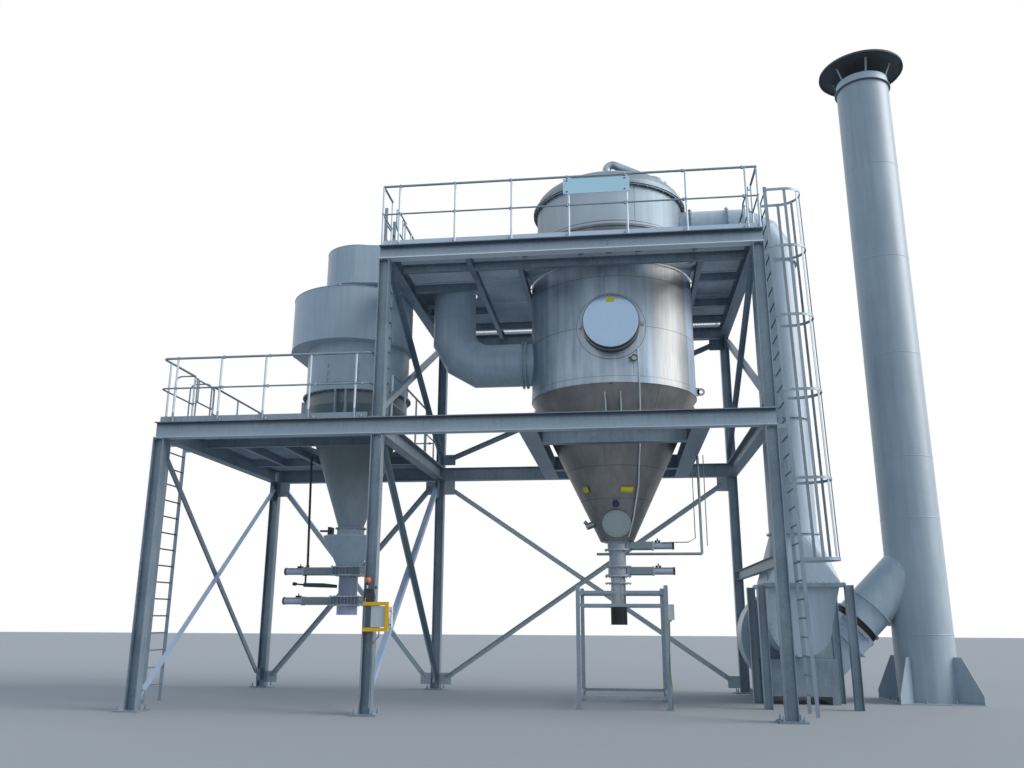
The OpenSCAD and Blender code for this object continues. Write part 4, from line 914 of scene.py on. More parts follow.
# %% [markdown]
# The vessel is rolled from stainless sheets, so it has a round seam under each course and upright
# seams that are staggered from course to course. A lap shows as a fine dark line on a raised edge. A
# texture would smear at this distance; thin strips of real geometry stay crisp.

# %% Seams of the vessel
SHELL_FOOT, SHELL_TOP = bottom("vessel_shell"), top("vessel_shell")
CONE_FOOT, R_OUTLET, BAND_TOP = bottom("vessel_cone"), 0.31, 5.70
CONE_RATE = (R_VESSEL - R_OUTLET) / (SHELL_FOOT - CONE_FOOT)
SEAM, LAP = 0.008, 0.002


def wall_radius(z):
    return min(R_OUTLET + CONE_RATE * (z - CONE_FOOT), R_VESSEL)


def round_seam(made, centre, r0, r1, z, height):
    made.turned([(r0, z), (r0 + LAP, z), (r1 + LAP, z + height), (r1, z + height)], centre, sides=96,
                smooth=False)


def upright_seam(made, centre, r0, r1, z0, z1, degrees, width=SEAM, lift=LAP):
    half = math.degrees(width / 2 / max(r0, r1))
    made.turned([(r0, z0), (r0 + lift, z0), (r1 + lift, z1), (r1, z1)], centre, sides=2,
                from_deg=degrees - half, to_deg=degrees + half, smooth=False)


COURSES = ((BAND_TOP, 6.655, (-76, -28, 92, 200)), (6.655, 7.62, (-94, -12, 60, 150)),
           (7.62, SHELL_TOP, (-93, -40, 30, 130)), (4.95, SHELL_FOOT, (-58, 40, 150)),
           (4.19, 4.95, (-100, 10, 120)), (3.62, 4.19, (-60, 70, 190)))
seams = Build()
for z0, z1, angles in COURSES:
    round_seam(seams, VESSEL, wall_radius(z0), wall_radius(z0 + SEAM), z0, SEAM)
    for a in angles:
        upright_seam(seams, VESSEL, wall_radius(z0), wall_radius(z1), z0, z1, a)
round_seam(seams, VESSEL, R_VESSEL_TOP, R_VESSEL_TOP, SHELL_TOP + 0.11, 0.014)
for a in (-70, 20, 110, 205):
    upright_seam(seams, VESSEL, R_VESSEL_TOP, R_VESSEL_TOP, SHELL_TOP + 0.12, 9.54, a)
seams.piece("vessel_seams", seam_dark, slot="stainless")

# %% [markdown]
# Near the foot a smooth band closes the shell over the cone, with a rolled lip below it, and a
# second lip runs round under the shell's upper edge. Each is a short profile, turned once round.

# %% Bands of the vessel
bands = Build()
for profile, smooth in (
        ([(0, SHELL_FOOT), (0.006, SHELL_FOOT), (0.006, BAND_TOP), (0, BAND_TOP)], False),
        ([(-0.003, SHELL_FOOT + 0.001), (0.009, SHELL_FOOT - 0.006), (0.009, SHELL_FOOT + 0.012),
          (0, SHELL_FOOT + 0.016)], True),
        ([(0, SHELL_TOP - 0.06), (0.012, SHELL_TOP - 0.05), (0.012, SHELL_TOP), (-0.02, SHELL_TOP + 0.006)],
         True)):
    bands.turned([(R_VESSEL + lift, z) for lift, z in profile], VESSEL, sides=128, smooth=smooth)
bands.piece("vessel_bands", shell_inox, slot="stainless")

# %% [markdown]
# The vent is a bursting panel on a short nozzle. Where the nozzle meets the shell a collar of sheet
# is wrapped on the shell. Its outline is a circle seen from the front, so no turned ring fits: each
# point is found by pushing the circle back onto the round wall.

# %% Vent collar
VENT_Z = 6.65
vent_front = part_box("vent_panel")[0][1]


def on_shell(x, lift):
    return VESSEL.y - math.sqrt((R_VESSEL + lift) ** 2 - (x - VESSEL.x) ** 2)


def wrapped_collar(made, inner, outer, thick, steps_round=96):
    rings = []
    for k in range(steps_round + 1):
        ring = []
        for r, lift in ((inner, 0), (outer, 0), (outer, thick), (inner, thick)):
            spot = polar(r, 360 * k / steps_round)
            x = VESSEL.x + spot.x
            ring.append(Vector((x, on_shell(x, lift), VENT_Z + spot.y)))
        rings.append(ring)
    made.loft(rings, smooth=False, close_ends=False)


collar, edge_line = Build(), Build()
wrapped_collar(collar, 0.475, 0.628, 0.005)
wrapped_collar(edge_line, 0.627, 0.638, 0.003)
for a in (5, 178):
    spot = polar(0.55, a)
    x, z = VESSEL.x + spot.x, VENT_Z + spot.y
    collar.box((x - 0.055, on_shell(x, 0.03), z - 0.03), (x + 0.055, on_shell(x, 0.0), z + 0.03))
    collar.bolt((x, on_shell(x, 0.03), z), (0, -1, 0), 0.012, 0.012)
collar.piece("vent_collar", shell_inox, slot="stainless")
edge_line.piece("vent_collar_edge", seam_dark, slot="stainless")

# %% [markdown]
# The panel itself is a thin bright disc, slightly bulged, in front of a dark gasket ring, which also
# carries painted shade for the recess behind the disc, and a clamp ring that many small bolts pull
# together. Behind the clamp a dark sleeve of painted shade covers the nozzle. All of it is turned
# about the nozzle's axis.

# %% Vent panel
AT_VENT = (VESSEL.x, vent_front, VENT_Z)
R_NOZZLE = 0.494
face, rim, clamp = Build(), Build(), Build()
face.turned([(0.0, -0.006), (0.30, -0.006), (0.488, -0.003), (0.496, 0)], AT_VENT, "Y", 96)
# Dark rings: a gasket darkened as painted shade of its recess, and painted shade over the nozzle.
for near, far, r in ((0.0, 0.105, 0.505), (0.17, 0.42, 0.515)):
    rim.hoop(AT_VENT, R_NOZZLE, r, near, far, "Y", 96)
for near, far, r in ((0.105, 0.125, 0.524), (0.125, 0.15, 0.510), (0.15, 0.17, 0.524)):
    clamp.hoop(AT_VENT, R_NOZZLE, r, near, far, "Y", 96)
for i in range(32):
    spot = polar(0.517, 360 * (i + 0.5) / 32)
    at = Vector((VESSEL.x + spot.x, vent_front + 0.103, VENT_Z + spot.y))
    clamp.rod(at, at + Vector((0, 0.07, 0)), 0.009, 6)
face.piece("vent_face", bright, slot="stainless")
rim.piece("vent_gasket_and_shade", dark_paint, slot="dark_paint")
clamp.piece("vent_clamp", cone_inox, slot="stainless")

# %% [markdown]
# Three yellow tags stay bare. The one on the panel is flat; the two on the cone bend with the sheet,
# so they are short arcs of the cone's own slope.

# %% Yellow tags
tags = Build()
tags.box((VESSEL.x - 0.075, vent_front - 0.0085, VENT_Z + 0.355),
         (VESSEL.x + 0.075, vent_front - 0.007, VENT_Z + 0.45))
for z, a, width in ((3.80, -135.5, 0.13), (3.77, -74, 0.22)):
    r = wall_radius(z)
    half = math.degrees(width / 2 / r)
    low, high = z - 0.05, z + 0.05
    lean = 0.1 * CONE_RATE
    outline = [(r + 0.002, low), (r + 0.004, low), (r + 0.004 + lean, high), (r + 0.002 + lean, high)]
    tags.turned(outline, VESSEL, sides=6, from_deg=a - half, to_deg=a + half)
tags.piece("bare_yellow_tags", tag_yellow, slot="guard_yellow")

# %% [markdown]
# Small fittings break the vessel's outline: a gauge on a short stub, a lifting lug with a round eye
# at the right, and a knocker that shakes dust off the cone. Rods, rings and one small slab make them.

# %% Gauge, lug and knocker
fittings, dark_bits = Build(), Build()
gauge = Vector((8.287, on_shell(8.287, 0.0), 6.022))
fittings.rod(gauge, gauge - Vector((0, 0.07, 0)), 0.028, 16)
fittings.rod(gauge - Vector((0, 0.058, 0)), gauge - Vector((0, 0.068, 0)), 0.05, 24)
dark_bits.hoop(gauge - Vector((0, 0.075, 0)), 0.046, 0.062, -0.02, 0.02, "Y", 32)
dark_bits.rod(gauge + Vector((-0.045, -0.06, 0.02)), gauge + Vector((-0.10, -0.01, 0.02)), 0.012, 8)
dark_bits.box((7.82, 1.04, 5.556), (7.89, 1.075, 5.58))

ON_EDGE = Matrix.Rotation(math.radians(90), 4, "X")
lug = Vector((VESSEL.x + R_VESSEL, VESSEL.y, 5.76))
fittings.slab([(0.0, -0.09), (0.07, -0.075), (0.07, 0.075), (0.0, 0.09)], -0.012, 0.012,
              Matrix.Translation(lug) @ ON_EDGE)
fittings.hoop(lug + Vector((0.10, 0, 0)), 0.035, 0.075, -0.012, 0.012, "Y", 28)

KNOCKER_Z = 3.2
knocker = Vector((VESSEL.x - wall_radius(KNOCKER_Z) * 0.94, VESSEL.y - wall_radius(KNOCKER_Z) * 0.3,
                  KNOCKER_Z))
fittings.rod(knocker, knocker + Vector((-0.13, -0.03, -0.05)), 0.062, 16)
fittings.rod(knocker + Vector((-0.09, -0.02, -0.03)), knocker + Vector((-0.17, -0.04, 0.05)), 0.035, 12)
fittings.piece("vessel_fittings", inox_plain, slot="stainless")
dark_bits.piece("vessel_dark_fittings", seam_dark, slot="stainless")

# %% [markdown]
# A level sensor sits in the front of the cone over the manhole. The manhole's cover is a disc with a
# raised middle, laid square on the sloping sheet by one matrix: a move and a turn.

# %% Level sensor and manhole cover
SENSOR_Z, DOOR_Z, R_COVER = 3.54, 3.19, 0.262
sensor, door, flange_bolts = Build(), Build(), Build()
at = Vector((7.88, VESSEL.y - wall_radius(SENSOR_Z), SENSOR_Z))
neck_end = at + Vector((0, -0.07, -0.035))
sensor.rod(at + Vector((0, 0.02, 0.01)), neck_end, 0.062, 20)
sensor.rod(neck_end, at + Vector((0, -0.12, -0.06)), 0.034, 16)
sensor.piece("level_sensor", sensor_blue, slot="dark_paint")

slope = math.atan(CONE_RATE)
door_way = Vector((0, -math.cos(slope), -math.sin(slope)))
door_at = Vector((VESSEL.x, VESSEL.y - wall_radius(DOOR_Z), DOOR_Z)) + door_way * 0.035
at_door = Matrix.Translation(door_at) @ door_way.to_track_quat("Z", "Y").to_matrix().to_4x4()
for share, low, high in ((1, 0.001, 0.004), (0.86, 0.004, 0.007)):
    door.slab([polar(R_COVER * share, a).to_2d() for a in range(0, 360, 5)], low, high, at_door)
door.piece("manhole_cover", door_inox, slot="stainless")
flange_bolts.bolt_circle(door_at, 0.238, 16, door_way, 0.009, 0.009)

# %% [markdown]
# Every flange of the plant is closed by a circle of bolts. A table holds each joint once, as a
# height or a place along the pipe, and the loops put heads on one side and nuts on the other.

# %% Bolt circles on all flanges
DUST_GATES = ((2.27, 2.43), (1.71, 1.87))
DOWN_DUCT_X, TOP_DUCT_Z, TRANSFER_Z = 11.12, 9.12, 6.41
upright_circles = [(VESSEL, 9.55, -1, 1.525, 48, 0.012, 0.012)]
for way, barrel_z, hopper_z in ((1, 5.765, 3.18), (-1, 5.735, 3.16)):
    upright_circles.append((CYCLONE, barrel_z, way, 1.057, 48, 0.012, 0.012))
    upright_circles.append((CYCLONE, hopper_z, way, 0.272, 16, 0.011, 0.01))
for low, high in DUST_GATES:
    upright_circles.append((CYCLONE, high, 1, 0.236, 12, 0.011, 0.01))
    upright_circles.append((CYCLONE, low, -1, 0.236, 12, 0.011, 0.01))
for low, high in ((5.12, 5.15), (8.30, 8.33)):
    down_duct = Vector((DOWN_DUCT_X, LINE_Y, 0))
    upright_circles.append((down_duct, high, 1, 0.458, 24, 0.011, 0.01))
    upright_circles.append((down_duct, low, -1, 0.458, 24, 0.011, 0.01))
for axis, z, way, radius, count, size, head in upright_circles:
    flange_bolts.bolt_circle(axis + UP * z, radius, count, (0, 0, way), size, head)
for near, far, z, radius in ((6.10, 6.195, TRANSFER_Z, 0.462), (9.52, 9.54, TOP_DUCT_Z, 0.468),
                             (10.25, 10.27, TOP_DUCT_Z, 0.468)):
    flange_bolts.bolt_circle((near, LINE_Y, z), radius, 24, (-1, 0, 0))
    flange_bolts.bolt_circle((far, LINE_Y, z), radius, 24, (1, 0, 0))
flange_bolts.piece("flange_bolts", tube, slot="galvanised_tube")

# %% [markdown]
# Air moves each slide gate: a cylinder between two square end plates, held by four tie rods, with a
# black end cap and small black couplings on top. One function builds it, and the side it points to
# is a factor of 1 or -1.

# %% Air cylinders of the slide gates
DUST_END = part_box("dust_valve_upper")[0][0]
VESSEL_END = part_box("vessel_valve_upper")[1][0]
valve_bits, black_bits = Build(), Build()


def actuator(x_body, x_end, side, z):
    def along(depth):
        return x_end - side * depth

    for dy in (-0.075, 0.075):
        for dz in (-0.062, 0.062):
            y, height = LINE_Y + dy, z + dz
            valve_bits.rod((x_body, y, height), (along(0.4), y, height), 0.014, 10)
    near, far = sorted((along(0.41), along(0.375)))
    valve_bits.box((near, LINE_Y - 0.085, z - 0.085), (far, LINE_Y + 0.085, z + 0.085))
    for degrees in (45, 135, 225, 315):
        spot = polar(0.075, degrees)
        y, height = LINE_Y + spot.x, z + spot.y
        valve_bits.rod((along(0.39), y, height), (along(0.01), y, height), 0.008, 8)
    cap_end = 0.036 * side
    black_bits.turned([(0.0, 0.0), (0.074, 0.0), (0.074, 0.03 * side), (0.066, cap_end), (0.0, cap_end)],
                      (along(0.03), LINE_Y, z), "X", 24, smooth=False)
    for depth in (0.33, 0.27):
        x = along(depth)
        black_bits.box((x - 0.022, LINE_Y - 0.03, z + 0.066), (x + 0.022, LINE_Y + 0.03, z + 0.10))
    black_bits.rod((along(0.3), LINE_Y, z + 0.09), (along(0.3), LINE_Y, z + 0.14), 0.012, 8)


for low, high in DUST_GATES:
    actuator(2.43, DUST_END, -1, (low + high) / 2)
for z in (2.805, 2.34):
    actuator(8.10, VESSEL_END, 1, z)
valve_bits.piece("valve_rods", inox_plain, slot="valve_grey")
black_bits.piece("valve_caps", rubber, slot="rubber")

# %% [markdown]
# The dust gates' bodies are dark castings between two bright plates, held by rows of long studs with
# nuts at both ends. The studs, plates and bodies are three pieces because they wear three finishes.

# %% Bodies of the dust gates
BODY_X, BODY_Y, PLATE_HALF = (2.40, 3.0), (2.40, 2.94), 0.006
STUDS, STUD_PITCH = 9, 0.0675
bodies, plates, studs = Build(), Build(), Build()
for low, high in DUST_GATES:
    middle = (low + high) / 2
    for in_x, in_y, z0, z1 in ((0.03, 0.05, low + 0.002, high - 0.002),
                               (0.01, 0.04, middle - 0.012, middle + 0.012)):
        bodies.box((BODY_X[0] + in_x, BODY_Y[0] + in_y, z0), (BODY_X[1] - in_x, BODY_Y[1] - in_y, z1))
    for z in (low, high):
        plates.box((BODY_X[0], BODY_Y[0], z - PLATE_HALF), (BODY_X[1], BODY_Y[1], z + PLATE_HALF))
    for k in range(STUDS):
        x = BODY_X[0] + 0.03 + STUD_PITCH * k
        for y in (BODY_Y[0] + 0.02, BODY_Y[1] - 0.02):
            studs.rod((x, y, low - 0.02), (x, y, high + 0.025), 0.0065, 8)
            plates.rod((x, y, high + PLATE_HALF), (x, y, high + 0.02), 0.013, 6)
            plates.rod((x, y, low - PLATE_HALF), (x, y, low - 0.018), 0.013, 6)
bodies.piece("dust_valve_bodies", motor_paint, slot="valve_grey")
studs.piece("dust_valve_studs", steel, slot="galvanised_tube")
plates.piece("dust_valve_plates", pale_zinc, slot="galvanised_tube")

# %% [markdown]
# The vessel's spout is a stack of short pipes, so five bright flanges follow each other above and
# below its two gates. A hoop makes each flange, a circle of bolts hangs under it.

# %% Flanges of the vessel's spout
R_SPOUT, FLANGE_HALF = 0.185, 0.009
necks = Build()
for z, r in ((2.885, 0.255), (2.73, 0.245), (2.425, 0.255), (2.245, 0.25), (2.12, 0.245)):
    necks.hoop(VESSEL, R_SPOUT, r, z - FLANGE_HALF, z + FLANGE_HALF)
    necks.bolt_circle(VESSEL + UP * (z - FLANGE_HALF), 0.225, 12, (0, 0, -1), 0.011, 0.012, 0.5)
necks.piece("vessel_spout_flanges", pale_zinc, slot="valve_grey")

# %% [markdown]
# The cyclone's barrel has a door held by toggle bolts, and its scroll and its head are seam welded.
# The beads of the scroll follow a spiral, so each is a path whose radius grows with the angle; those
# of the head are a plain arc, and short legs carry the head over the scroll's roof.

# %% Cyclone fittings
cyclone_bits = Build()
for thick, r, a0, a1, z0, z1 in ((0.012, R_BARREL, -107, -74, 5.86, 6.34),
                                 (0.01, R_BARREL + 0.012, -104, -77, 5.90, 6.30)):
    section = [(r, z0), (r + thick, z0), (r + thick, z1), (r, z1), (r, z0)]
    cyclone_bits.turned(section, CYCLONE, sides=12, from_deg=a0, to_deg=a1, smooth=False)


def barrel_rod(degrees, off, z0, z1, radius):
    foot = CYCLONE + polar(R_BARREL + off, degrees)
    cyclone_bits.rod(foot + UP * z0, foot + UP * z1, radius, 8)


for degrees in (-108.5, -72.5):
    for z in (5.95, 6.1, 6.25):
        barrel_rod(degrees, 0.005, z - 0.035, z + 0.035, 0.016)
barrel_rod(-77, 0.05, 5.98, 6.22, 0.011)

SPIRAL_STEPS, SPIRAL_GROWTH, BEAD = 60, 0.365, 0.006
SCROLL_FOOT, ROOF_Z, R_LEGS, R_HEAD = 6.72, 7.80, 0.66, 0.75
for z in (SCROLL_FOOT, ROOF_Z):
    edge = []
    for share in (i / SPIRAL_STEPS for i in range(SPIRAL_STEPS + 1)):
        edge.append(CYCLONE + polar(R_BARREL + SPIRAL_GROWTH * share ** 0.7 + 0.003, 20 - 200 * share, z))
    cyclone_bits.path(edge, 0.007, 6)
for z in (8.06, 8.88):
    bead = [polar(BEAD, 60 * k) for k in range(7)]
    section = [(R_HEAD + p.x, z + p.y) for p in bead]
    cyclone_bits.turned(section, CYCLONE, sides=64, from_deg=62, to_deg=298)
cyclone_bits.rod((2.43, 1.94, 8.04), (2.43, 1.94, ROOF_Z), 0.022, 10)
for degrees in (-120, -30, 60, 150):
    foot = CYCLONE + polar(R_LEGS, degrees, ROOF_Z)
    cyclone_bits.rod(foot, foot + UP * 0.258, 0.022, 10)
cyclone_bits.piece("cyclone_fittings", paint, slot="grey_paint")

# %% [markdown]
# A hand lever with a counterweight sits between the two dust gates, and a thin dark pipe hangs beside
# the cone. The lever's arm is cut from plate: an outline in X and Z, given a thickness along Y.

# %% Lever and hanging pipe
lever, hanger = Build(), Build()
ARM = [(2.46, 2.035), (2.46, 2.095), (2.2, 2.125), (1.80, 2.13), (1.77, 2.10), (1.80, 2.055), (2.1, 2.045)]
lever.slab(ARM, -LINE_Y - 0.02, -LINE_Y + 0.02, ON_EDGE)
for (x0, z0), (x1, z1), radius, sides in (
        ((1.80, 2.095), (1.62, 2.112), 0.016, 8), ((1.64, 2.110), (1.575, 2.114), 0.034, 14),
        ((1.822, 2.12), (1.822, 2.275), 0.02, 8)):
    lever.rod((x0, LINE_Y, z0), (x1, LINE_Y, z1), radius, sides)
lever.rod((2.10, 2.55, 3.12), (2.32, 2.62, 3.12), 0.02, 8)
lever.box((2.25, 2.56, 3.04), (2.31, 2.78, 3.20))
lever.piece("dust_lever", dark_paint, slot="dark_paint")

hanger.rod((1.85, 2.67, 2.40), (1.815, 2.60, 4.62), 0.024, 12)
for x, y, z in ((1.85, 2.67, 2.42), (1.815, 2.60, 4.55)):
    hanger.rod((x, y, z), (x, y, z + 0.05), 0.034, 12)
hanger.piece("hanger_pipe", dark_paint, slot="galvanised_steel")

# %% [markdown]
# Rolled sections of the stack are butt welded, which leaves a bead every two metres or so, with an
# upright bead on each course. The cap is a flat dark disc of sheet with a rolled edge that hangs
# over, so a profile of six points is turned over the plain disc of the frame.

# %% Stack seams and the cap
SEAM_Z = (1.21, 3.38, 4.57, 6.68, 8.77, 10.9)
SEAM_TURNS = (-20, 160, 60, 250, 10, 130, 220)
beads, cap = Build(), Build()
for z in SEAM_Z:
    profile = ((0, -0.012), (0.004, -0.006), (0.004, 0.006), (0, 0.012))
    beads.turned([(R_STACK + lift, z + dz) for lift, dz in profile], STACK, sides=72)
for z0, z1, a in zip((0.02,) + SEAM_Z, SEAM_Z + (12.9,), SEAM_TURNS):
    upright_seam(beads, STACK, R_STACK, R_STACK, z0, z1, a, 0.012, 0.003)
beads.piece("stack_seams", stack_paint, slot="grey_paint")

cap_top = top("stack_cap")
R_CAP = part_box("stack_cap")[1][0] - STACK.x
ROLLED_EDGE = ((-0.02, 0.002), (0.003, -0.006), (0.008, -0.05), (-0.004, -0.065), (-0.012, -0.031))
cap.turned([(0.0, cap_top + 0.002)] + [(R_CAP + lift, cap_top + dz) for lift, dz in ROLLED_EDGE], STACK,
           sides=96)
cap.piece("stack_cap_edge", dark_paint, slot="dark_paint")

# %% [markdown]
# The fan's inlet box hangs in an angle frame with a row of bolts, and a half circle of bolts follows
# the round foot of its front. It is a little wider than high, so its two radii differ.

# %% Fan inlet
FAN = Vector((DOWN_DUCT_X, STACK.y, 1.27))
ANGLE_T, ANGLE_Y, ANGLE_Z = 0.022, (1.968, 3.372), (2.03, 2.098)
fan_bits, angles = Build(), Build()
for i in range(13):
    for y in (1.995, 3.345):
        fan_bits.bolt((FAN.x - 0.66 + 1.32 * i / 12, y, 2.10), (0, 0, 1), 0.01, 0.01)
for k in range(19):
    spot = polar(1, 180 + 10 * k)
    fan_bits.bolt((FAN.x + 0.60 * spot.x, 2.058, 1.40 + 0.55 * spot.y), (0, -1, 0), 0.009, 0.009)
fan_bits.piece("fan_bolts", tube, slot="galvanised_tube")

box_low, box_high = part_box("fan_inlet_box")
x0, x1 = box_low[0] - 0.006, box_high[0] + 0.006
y0, y1 = ANGLE_Y
for a, b, c, d in ((x0, x1, y0, y0 + ANGLE_T), (x0, x1, y1 - ANGLE_T, y1),
                   (x0, x0 + ANGLE_T, y0 + ANGLE_T, y1 - ANGLE_T),
                   (x1 - ANGLE_T, x1, y0 + ANGLE_T, y1 - ANGLE_T)):
    angles.box((a, c, ANGLE_Z[0]), (b, d, ANGLE_Z[1]))
angles.piece("fan_inlet_angles", steel, slot="galvanised_steel")

# %% [markdown]
# Between fan and stack a black rubber sleeve takes up movement. It bulges slightly in the middle, so
# it is a row of short cones, between two flange rings. The outlet rises at 45 degrees: every place
# on it is the mouth of the fan plus a length along that direction.

# %% Fan outlet
MOUTH = FAN + Vector((1, 0, -1)) * (0.8 * math.sqrt(0.5))
RISE = Vector((1, 0, 1)).normalized()
BULGE = ((0.925, 0.002), (0.94, 0.006), (0.98, 0.016), (1.02, 0.006), (1.04, 0.002))
sleeve, rings = Build(), Build()
for (near, r0), (far, r1) in zip(BULGE, BULGE[1:]):
    sleeve.rod(MOUTH + RISE * near, MOUTH + RISE * far, R_DUCT + r0, 64, R_DUCT + r1)
for at in (0.87, 1.04):
    rings.rod(MOUTH + RISE * at, MOUTH + RISE * (at + 0.022), R_DUCT + 0.046, 64)
square = Matrix.Translation(MOUTH + RISE * 0.58) @ Matrix.Rotation(math.radians(45), 4, "Y")
rings.slab([(-0.45, -0.40), (0.45, -0.40), (0.45, 0.40), (-0.45, 0.40)], 0, 0.02, square)
for at, way in ((0.87, -1), (1.062, 1), (1.42, 1)):
    rings.bolt_circle(MOUTH + RISE * at, 0.458, 24, RISE * way, phase=0.5)
sleeve.piece("fan_sleeve", rubber, slot="rubber")
rings.piece("fan_outlet_rings", paint, slot="grey_paint")

# %% [markdown]
# Controls hang on the middle front column. Over the yellow guard an orange lamp stands on a small
# arm; its dome and its neck are turned from short profiles. Two switches sit at the guard's right
# side and one behind the lamp. They are small, so each is a body with a slightly raised face.

# %% Lamp and switches
FRONT = -0.09
LAMP = Vector((3.906, -0.19, 0))
beacon, neck, switches, flag = Build(), Build(), Build(), Build()
beacon.turned([(0.0, 2.115), (0.022, 2.112), (0.038, 2.098), (0.046, 2.072), (0.045, 2.045),
               (0.036, 2.022), (0.0, 2.018)], LAMP, "Z", 24)
neck.turned([(0.0, 2.022), (0.037, 2.022), (0.037, 2.008), (0.02, 1.985), (0.014, 1.93), (0.014, 1.90),
             (0.0, 1.90)], LAMP, "Z", 20)
neck.boxes(((3.886, -0.21, 1.888), (3.926, FRONT, 1.90)),
           ((3.822, -0.125, 1.736), (3.988, FRONT, 1.922)),
           ((3.828, -0.131, 1.742), (3.982, -0.125, 1.916)))
for z, radius in ((1.372, 0.012), (1.585, 0.010)):
    neck.rod((4.30, -0.186, z), (4.30, -0.20, z), radius, 12)
switches.boxes(((4.272, -0.186, 1.556), (4.318, -0.12, 1.651)),
               ((4.274, -0.186, 1.334), (4.316, -0.12, 1.544)),
               ((4.278, -0.19, 1.562), (4.312, -0.186, 1.645)),
               ((4.280, -0.19, 1.342), (4.310, -0.186, 1.536)),
               ((3.893, -0.222, 1.935), (3.913, -0.205, 1.985)))
flag.boxes(((3.985, -0.103, 1.934), (4.03, FRONT - 0.001, 1.974)),
           ((3.991, -0.105, 1.94), (4.024, -0.103, 1.968)))
beacon.piece("beacon_lamp", orange, slot="guard_yellow")
neck.piece("control_dark_fittings", dark_paint, slot="dark_paint")
switches.piece("control_switches", white_cable, slot="box_plastic")
flag.piece("column_switch", sensor_blue, slot="dark_paint")

# %% [markdown]
# Conduits run from the box up and down the column, down beside the vessel's cone to its gates, and
# from the gauge down the shell and the cone. Each is a thin tube along a few points; most of the
# gauge's points come from the wall itself, so that the tube lies close to it.

# %% Conduits
IN_FRONT = FRONT - 0.012
wires, pale_wire = Build(), Build()
ROUTES = (
    (0.011, [(4.04, -0.13, 1.66), (4.04, -0.115, 1.74), (3.985, IN_FRONT, 1.9), (3.985, IN_FRONT, 4.4)]),
    (0.012, [(4.10, -0.13, 1.335), (4.10, -0.125, 1.2), (3.98, IN_FRONT, 1.05), (3.98, IN_FRONT, 0.12)]),
    (0.013, [(3.825, FRONT - 0.011, 0.2), (3.825, FRONT - 0.011, 1.9)]),
    (0.009, [(9.33, 2.55, 4.5), (9.33, 2.55, 2.93), (9.2, 2.55, 2.86), (8.75, 2.6, 2.86)]),
    (0.009, [(9.55, 2.60, 4.5), (9.55, 2.60, 2.8)]))
for radius, route in ROUTES:
    wires.path(route, radius)
wires.rod((3.862, -0.15, 1.25), (3.862, -0.15, 1.79), 0.008, 8)
wires.piece("conduits", tube, slot="galvanised_tube")


def on_cone(x, z, share, wall_z):
    return x, VESSEL.y - wall_radius(wall_z) * share, z


pale_wire.path([(8.353, on_shell(8.353, 0.02), 6.22), (8.365, on_shell(8.365, 0.025), 5.546),
                on_cone(8.368, 5.2, 0.955, 5.2), on_cone(8.353, 4.627, 0.94, 4.63),
                on_cone(8.304, 3.844, 0.88, 3.85), on_cone(8.2, 3.3, 0.84, 3.3), (8.1, 2.40, 2.95)], 0.013)
pale_wire.piece("gauge_conduit", white_cable, slot="box_plastic")

# %% [markdown]
# The discharge stand stands on four small pads. A pale box with a screwed lid hangs on its right
# post, and its cable droops to the floor along five points. Two short zinc rods under the front of
# the vessel's shell go with the pads, because they wear the same finish.

# %% Fittings of the discharge stand
stand_bits, stand_wire, pads = Build(), Build(), Build()
stand_bits.boxes(((8.742, 1.474, 1.464), (8.828, 1.56, 1.716)), ((8.74, 1.462, 1.46), (8.83, 1.474, 1.72)))
for z in (1.475, 1.705):
    for x in (8.752, 8.818):
        stand_bits.bolt((x, 1.462, z), (0, -1, 0), 0.006, 0.005)
stand_bits.rod((8.77, 1.51, 1.464), (8.77, 1.51, 1.43), 0.013, 12)
stand_wire.path([(8.745, 1.45, 1.46), (8.74, 1.445, 1.2), (8.715, 1.45, 0.7), (8.75, 1.44, 0.35),
                 (8.74, 1.45, 0.03)], 0.009)
for x in (7.185, 8.70):
    for y in (1.5, 3.2):
        pads.box((x - 0.075, y - 0.075, 0.0), (x + 0.075, y + 0.075, 0.008))
        for s in (-1, 1):
            pads.bolt((x + s * 0.055, y, 0.008), (0, 0, 1), 0.01, 0.009)
for x in (7.752, 8.024):
    pads.rod((x, 1.07, 4.80), (x, 1.07, 5.28), 0.014, 10)
stand_bits.piece("stand_box", pale_plastic, slot="box_plastic")
stand_wire.piece("stand_cable", cable_green, slot="rubber")
pads.piece("stand_pads", tube, slot="galvanised_tube")

# %% [markdown]
# A pipe on the roof lets air into the vessel: a rise from the crown, a bend, and a run down the lid.
# Separate cylinders would break at the bends, so it is swept along one smooth path whose bends are
# arcs. A small round hatch lies on the lid's right slope, tilted by the slope of the ellipse there.

# %% Roof pipe and hatch
LID_FOOT, LID_H, R_LID = 9.625, 0.6, 1.52
PIPE_X, PIPE_TOP, R_PIPE = 7.87, 10.64, 0.085
BEND, RUN_TURN, RUN_LENGTH = 0.12, 63, 0.82
HATCH_X, HATCH_Y, R_HATCH = 0.95, -0.37, 0.24


def lid_height(offset):
    return LID_FOOT + LID_H * math.sqrt(max(1 - (offset / R_LID) ** 2, 0))


def in_line(radius, degrees):
    spot = polar(radius, degrees)
    return Vector((spot.x, 0, spot.y))


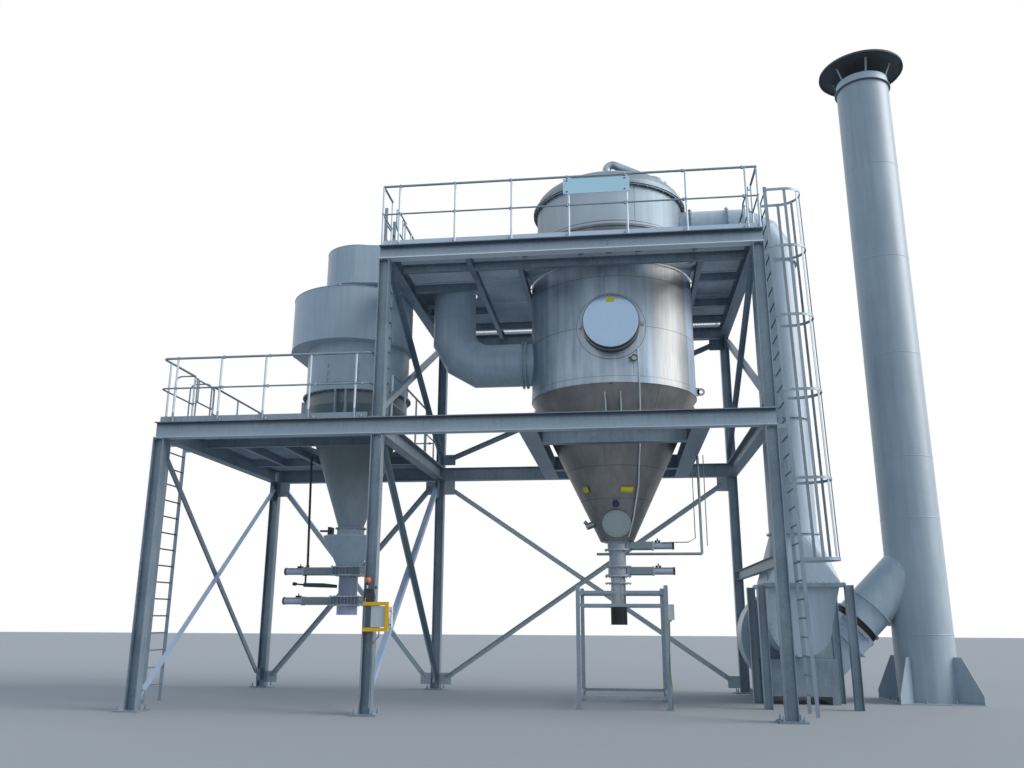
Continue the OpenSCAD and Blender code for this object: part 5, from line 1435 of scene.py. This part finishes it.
start = Vector((PIPE_X, LINE_Y, lid_height(0.015)))
crown = Vector((PIPE_X, LINE_Y, PIPE_TOP))
route = [start - UP * 0.03, crown]
for k in range(1, 13):
    route.append(crown + in_line(BEND, 0) + in_line(BEND, 180 - (180 - RUN_TURN) * k / 12))
route.append(route[-1] + in_line(RUN_LENGTH, RUN_TURN - 90))
centre = route[-1] - in_line(BEND, RUN_TURN)
for k in range(1, 8):
    route.append(centre + in_line(BEND, RUN_TURN - RUN_TURN * k / 7))
end = Vector((route[-1].x, LINE_Y, lid_height(route[-1].x - VESSEL.x)))
route.append(end - UP * 0.03)

roof = Build()
roof.path(route, R_PIPE, 24)
roof.hoop(end, 0.08, 0.13, -0.01, 0.03, sides=32)
roof.hoop(start, 0.08, 0.14, -0.01, 0.03, sides=32)
roof.rod((8.012, LINE_Y, 10.742), (8.024, LINE_Y, 10.75), 0.105, 32)
tilt = math.atan(LID_H * (HATCH_X / R_LID ** 2) / math.sqrt(1 - (HATCH_X / R_LID) ** 2))
hatch = VESSEL + Vector((HATCH_X, HATCH_Y, lid_height(math.hypot(HATCH_X, HATCH_Y))))
roof.slab([polar(R_HATCH, 360 * i / 32).to_2d() for i in range(32)], -0.06, 0.06,
          Matrix.Translation(hatch) @ Matrix.Rotation(tilt, 4, "Y"))
roof.piece("roof_pipe", inox, slot="stainless")

# %% [markdown]
# The room: one pale floor, a white background that only the camera, mirrors and glass see, and
# soft light. A wide lamp from the right gives the stack, the vessel and the ducts their bright right
# edges, and the faces towards the viewer are lit by the pale blue world alone.

# %% Floor and light
floor = Build()
floor.box((-60, -40, -0.05), (70, 70, -0.001))
floor_finish = Finish("studio_floor")
floor_finish.set(Base_Color=(0.38, 0.39, 0.40), Roughness=0.9)
floor.shape("studio_floor", floor_finish.material)

world = bpy.data.worlds.new("world")
scene.world = world
room = Nodes(world)
rays = room.node("ShaderNodeLightPath").socket.node.outputs
seen = Value(room, rays["Is Camera Ray"])
for kind in ("Is Glossy Ray", "Is Transmission Ray"):
    seen = room.sum_of("MAXIMUM", seen, Value(room, rays[kind]))
soft = room.node("ShaderNodeBackground", {}, {"Color": (0.54, 0.76, 1.0), "Strength": 0.55})
white = room.node("ShaderNodeBackground", {}, {"Color": (1.0, 1.0, 1.0)})
backdrop = room.node("ShaderNodeMixShader", {}, {0: seen, 1: soft, 2: white})
room.node("ShaderNodeOutputWorld", {}, {"Surface": backdrop})

lamp = bpy.data.lights.new("wide_lamp", "SUN")
lamp.energy = 2.6
lamp.angle = math.radians(40)
lamp.color = (1.0, 0.98, 0.96)
lamp_holder = bpy.data.objects.new("wide_lamp", lamp)
scene.collection.objects.link(lamp_holder)
lamp_holder.rotation_euler = (math.radians(62), 0, math.radians(83))
scene.view_settings.view_transform = "Standard"
print("floor and light set")
